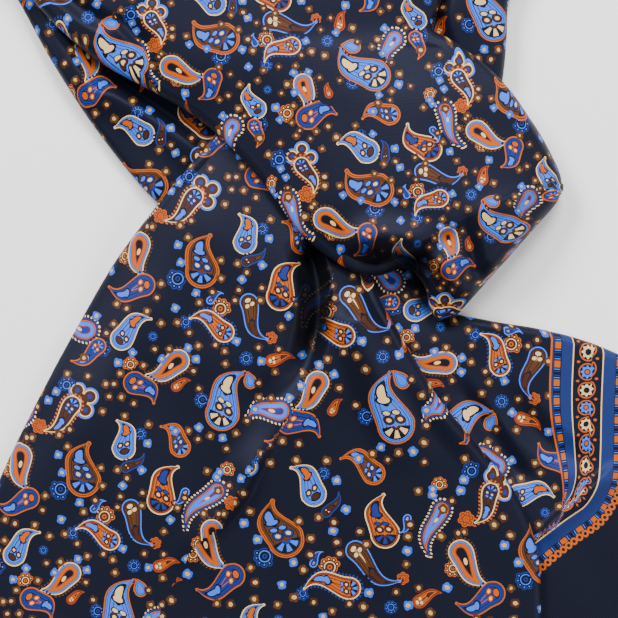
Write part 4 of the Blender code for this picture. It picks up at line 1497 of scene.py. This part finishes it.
def rolled_hem(name, plan, height):
    """The hand rolled hem along a tail's end, plump between its small slanting stitches."""
    outward = unit(plan[-1] - plan[-2])
    middle = plan[-1] + outward * HEM_RADIUS * HEM_OUT
    level = height[-1] - WALL / 2 - HEM_DROP
    mesh = bmesh.new()
    ring = bmesh.ops.create_circle(mesh, segments=HEM_SIDES, radius=HEM_RADIUS, cap_ends=False)["verts"]
    edges = list(mesh.edges)
    for k, gone in enumerate(gone_along(middle)):
        pinch = 1 - PINCH * abs(math.cos(math.pi * gone / STITCH_PITCH)) ** PINCH_SHARPNESS
        for side, vert in enumerate(ring):
            angle = 2 * math.pi * side / HEM_SIDES
            out = HEM_RADIUS * pinch * math.cos(angle)
            lift = HEM_RADIUS * pinch * math.sin(angle)
            vert.co = table_point((*(middle[k] + outward[k] * out), max(level[k] + lift, HEM_LEAST)))
        if k == 0:
            bmesh.ops.contextual_create(mesh, geom=edges)
        if k < len(middle) - 1:
            made = bmesh.ops.extrude_edge_only(mesh, edges=edges)["geom"]
            grown = {item for item in made if isinstance(item, bmesh.types.BMVert)}
            ring = [next(edge.other_vert(vert) for edge in vert.link_edges
                         if edge.other_vert(vert) in grown) for vert in ring]
            edges = [edge for edge in made if isinstance(edge, bmesh.types.BMEdge)
                     and edge.verts[0] in grown and edge.verts[1] in grown]
    bmesh.ops.contextual_create(mesh, geom=edges)
    bmesh.ops.recalc_face_normals(mesh, faces=mesh.faces)
    return as_object(name, mesh)


def hem_stitches(name, plan, height):
    """The small slanting stitches that hold the rolled hem down."""
    edge = plan[-1]
    outward = unit(edge - plan[-2])
    gone = gone_along(edge)
    mesh = bmesh.new()
    for stop in np.arange(STITCH_PITCH / 2, gone[-1], STITCH_PITCH):
        k = min(int(np.searchsorted(gone, stop)), len(gone) - 2)
        slant = unit(edge[k + 1] - edge[k]) * STITCH_WIDTH
        start = edge[k] - outward[k] * STITCH_LENGTH * STITCH_INSIDE - slant
        end = edge[k] + outward[k] * STITCH_LENGTH * (1 - STITCH_INSIDE) + slant
        way = unit(end - start)
        side = right_of(way)
        for vert in bmesh.ops.create_icosphere(mesh, subdivisions=1, radius=1.0)["verts"]:
            x, y, z = vert.co
            place = (start + end) / 2 + way * x * STITCH_LENGTH / 2 + side * y * STITCH_WIDTH
            vert.co = table_point((*place, height[-1][k] + z * STITCH_WIDTH * STITCH_FLATNESS))
    bmesh.ops.recalc_face_normals(mesh, faces=mesh.faces)
    return as_object(name, mesh)


def dress(obj, node, finish):
    obj.data.materials.append(finish)
    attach(obj, "root")
    if node:
        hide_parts(node)


def flat_size(sections, turned_width, turned_length):
    """A stretch's flat size with the cloth in its rolled edges: across, and down its middle."""
    rows = np.array(sections, dtype=float)
    widths = np.linalg.norm(rows[:, 3:5] - rows[:, 0:2], axis=1)
    length = gone_along((rows[:, 0:2] + rows[:, 3:5]) / 2)[-1]
    return float((widths.mean() + turned_width) * MM), float((length + turned_length) * MM)


def laid_stretches():
    """Every stretch, laid in turn on those before it: its object, plan, heights and flat size."""
    heap = Heap()
    made = {}

    def lay(name, sections, folds, sides, on=heap, lay_out=as_laid, **more):
        obj, plan, height, turned = stretch(name + "_silk", sections, folds, on, sides, lay_out, **more)
        on.add(obj)
        turned_width = turned * sum(side > 0 for side in sides)
        flat = flat_size(sections, turned_width, turned * bool(more.get("turn")))
        made[name] = (obj, plan, height, flat)

    lay("back_leg", BACK_LEG, BACK_FOLDS, (BACK_ROLL, 0.0))
    lay("right_tail", RIGHT_TAIL, RIGHT_TAIL_FOLDS, (TAIL_ROLL, 0.0))
    lay("right_strand", RIGHT_STRAND, RIGHT_STRAND_FOLDS, (STRAND_ROLL, STRAND_ROLL),
        before=NECK_LOOP[-2])
    lay("left_tail", LEFT_TAIL, LEFT_TAIL_FOLDS, (TAIL_ROLL, TAIL_FOLD_ROLL))
    lay("front_leg", FRONT_LEG, FRONT_FOLDS, (LEG_ROLL, LEG_ROLL),
        turn=TURN_ROLL, lean=TURN_LEAN, before=NECK_LOOP[1])
    lay("neck_loop", NECK_LOOP, NECK_FOLDS, (LEG_ROLL, LEG_ROLL), Heap(), unrolled,
        before=FRONT_LEG[1], after=RIGHT_STRAND[1], seam=SEAM_GAP)
    return made


def prints_of(made):
    """The panels that each stretch is printed with, and its border."""
    left = pinned_panel(LEFT_PINS, LEFT_HEIGHT, from_left_frame)
    right = pinned_panel(RIGHT_PINS, RIGHT_HEIGHT)
    upper = pinned_panel(UPPER_PINS, UPPER_HEIGHT)
    groove = photo_curve(GROOVE, GROOVE_HEIGHT)
    crease = photo_curve(CREASE, CREASE_HEIGHT)
    edges = [photo_curve(edge, BORDER_HEIGHT) for edge in (BORDER_START, BORDER_END)]
    return {
        "back_leg": ([(turned_panel(BACK_PIN), everywhere)], None),
        "right_strand": ([(turned_panel(STRAND_PIN), everywhere)], None),
        "right_tail": ([(turned_panel(TAIL_PIN), everywhere)], border_between(*edges)),
        "left_tail": ([(left, beside(groove, False)), (right, beside(groove, True))],
                      border_before(made["left_tail"][1][-1])),
        "front_leg": ([(turned_panel(CREASE_PIN), beside(crease, False)),
                       (upper, beside(crease, True))], None),
        "neck_loop": ([(straight_panel, everywhere)], None),
    }


def shawl():
    """The printed stretches, the hems, and the finish of the layers that are folded away."""
    made = laid_stretches()
    plain = printed_silk("printed silk twill")
    bordered = printed_silk("printed silk twill with its border", border=True)
    hem_silk = plain_silk("rolled hem silk", HEM_SILK)
    thread = plain_silk("hem thread", DARK_SILK)
    for node, (panels, border) in prints_of(made).items():
        obj, plan, height, flat = made[node]
        print_cloth(obj.data, panels, border, PAINTED_SHADE_POCKETS.get(node, ()))
        thicken(obj)
        dress(obj, node, bordered if border else plain)
        pieces = []
        if border:
            side = node.removesuffix("_tail")
            pieces = [rolled_hem(side + "_rolled_hem", plan, height),
                      hem_stitches(side + "_hem_stitches", plan, height)]
            dress(pieces[0], "hem_" + side, hem_silk)
            dress(pieces[1], None, thread)
    inner = plain_silk("folded silk in shade", DARK_SILK)
    for node in ("inner_layers", "neck_layers"):
        layers = frame["nodes"][node]
        layers.data.materials.clear()
        layers.data.materials.append(inner)


# The floor's half size and how far it lies under the shawl, in metres, and its paper. Then the
# soft lamps, with their places, sizes and power, the light from all round, and the sensor.
FLOOR_HALF = 3.0
FLOOR_DROP = 0.0002
PAPER = {"Base Color": (0.94, 0.94, 0.93, 1.0), "Roughness": 0.9}
LIGHTS = [
    ("key", (-1.0, 1.2, 1.3), 0.7, 62.0),
    ("fill", (1.4, -0.5, 1.2), 1.0, 24.0),
    ("top", (0.4, 1.5, 1.7), 0.9, 62.0),
]
WORLD_LIGHT = 0.25
SENSOR = 36.0


def linked(obj):
    bpy.context.scene.collection.objects.link(obj)
    return obj


def studio():
    """A plain pale floor, soft light from above and a camera straight over the shawl."""
    mesh = bmesh.new()
    bmesh.ops.create_grid(mesh, x_segments=1, y_segments=1, size=FLOOR_HALF)
    bmesh.ops.translate(mesh, verts=mesh.verts, vec=(0.0, 0.0, -FLOOR_DROP))
    floor = as_object("floor", mesh)
    paper = Finish("pale floor")
    paper.feed(paper.shader, PAPER)
    floor.data.materials.append(paper.material)
    for name, place, size, power in LIGHTS:
        lamp = bpy.data.lights.new(name, "AREA")
        lamp.shape = "SQUARE"
        lamp.size = size
        lamp.energy = power
        obj = linked(bpy.data.objects.new(name, lamp))
        obj.location = place
        obj.rotation_euler = (-Vector(place)).to_track_quat("-Z", "Y").to_euler()
    world = bpy.data.worlds.new("studio")
    world.use_nodes = True
    background = world.node_tree.nodes["Background"]
    background.inputs["Color"].default_value = (1.0, 1.0, 1.0, 1.0)
    background.inputs["Strength"].default_value = WORLD_LIGHT
    bpy.context.scene.world = world
    lens = bpy.data.cameras.new("camera")
    lens.sensor_width = SENSOR
    lens.lens = SENSOR * LENS_HEIGHT / (FRAME_PIXELS * PIXEL)
    camera = linked(bpy.data.objects.new("camera", lens))
    camera.location = table_point((0, 0, LENS_HEIGHT))
    bpy.context.scene.camera = camera


def main():
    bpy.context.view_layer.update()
    shawl()
    studio()


main()
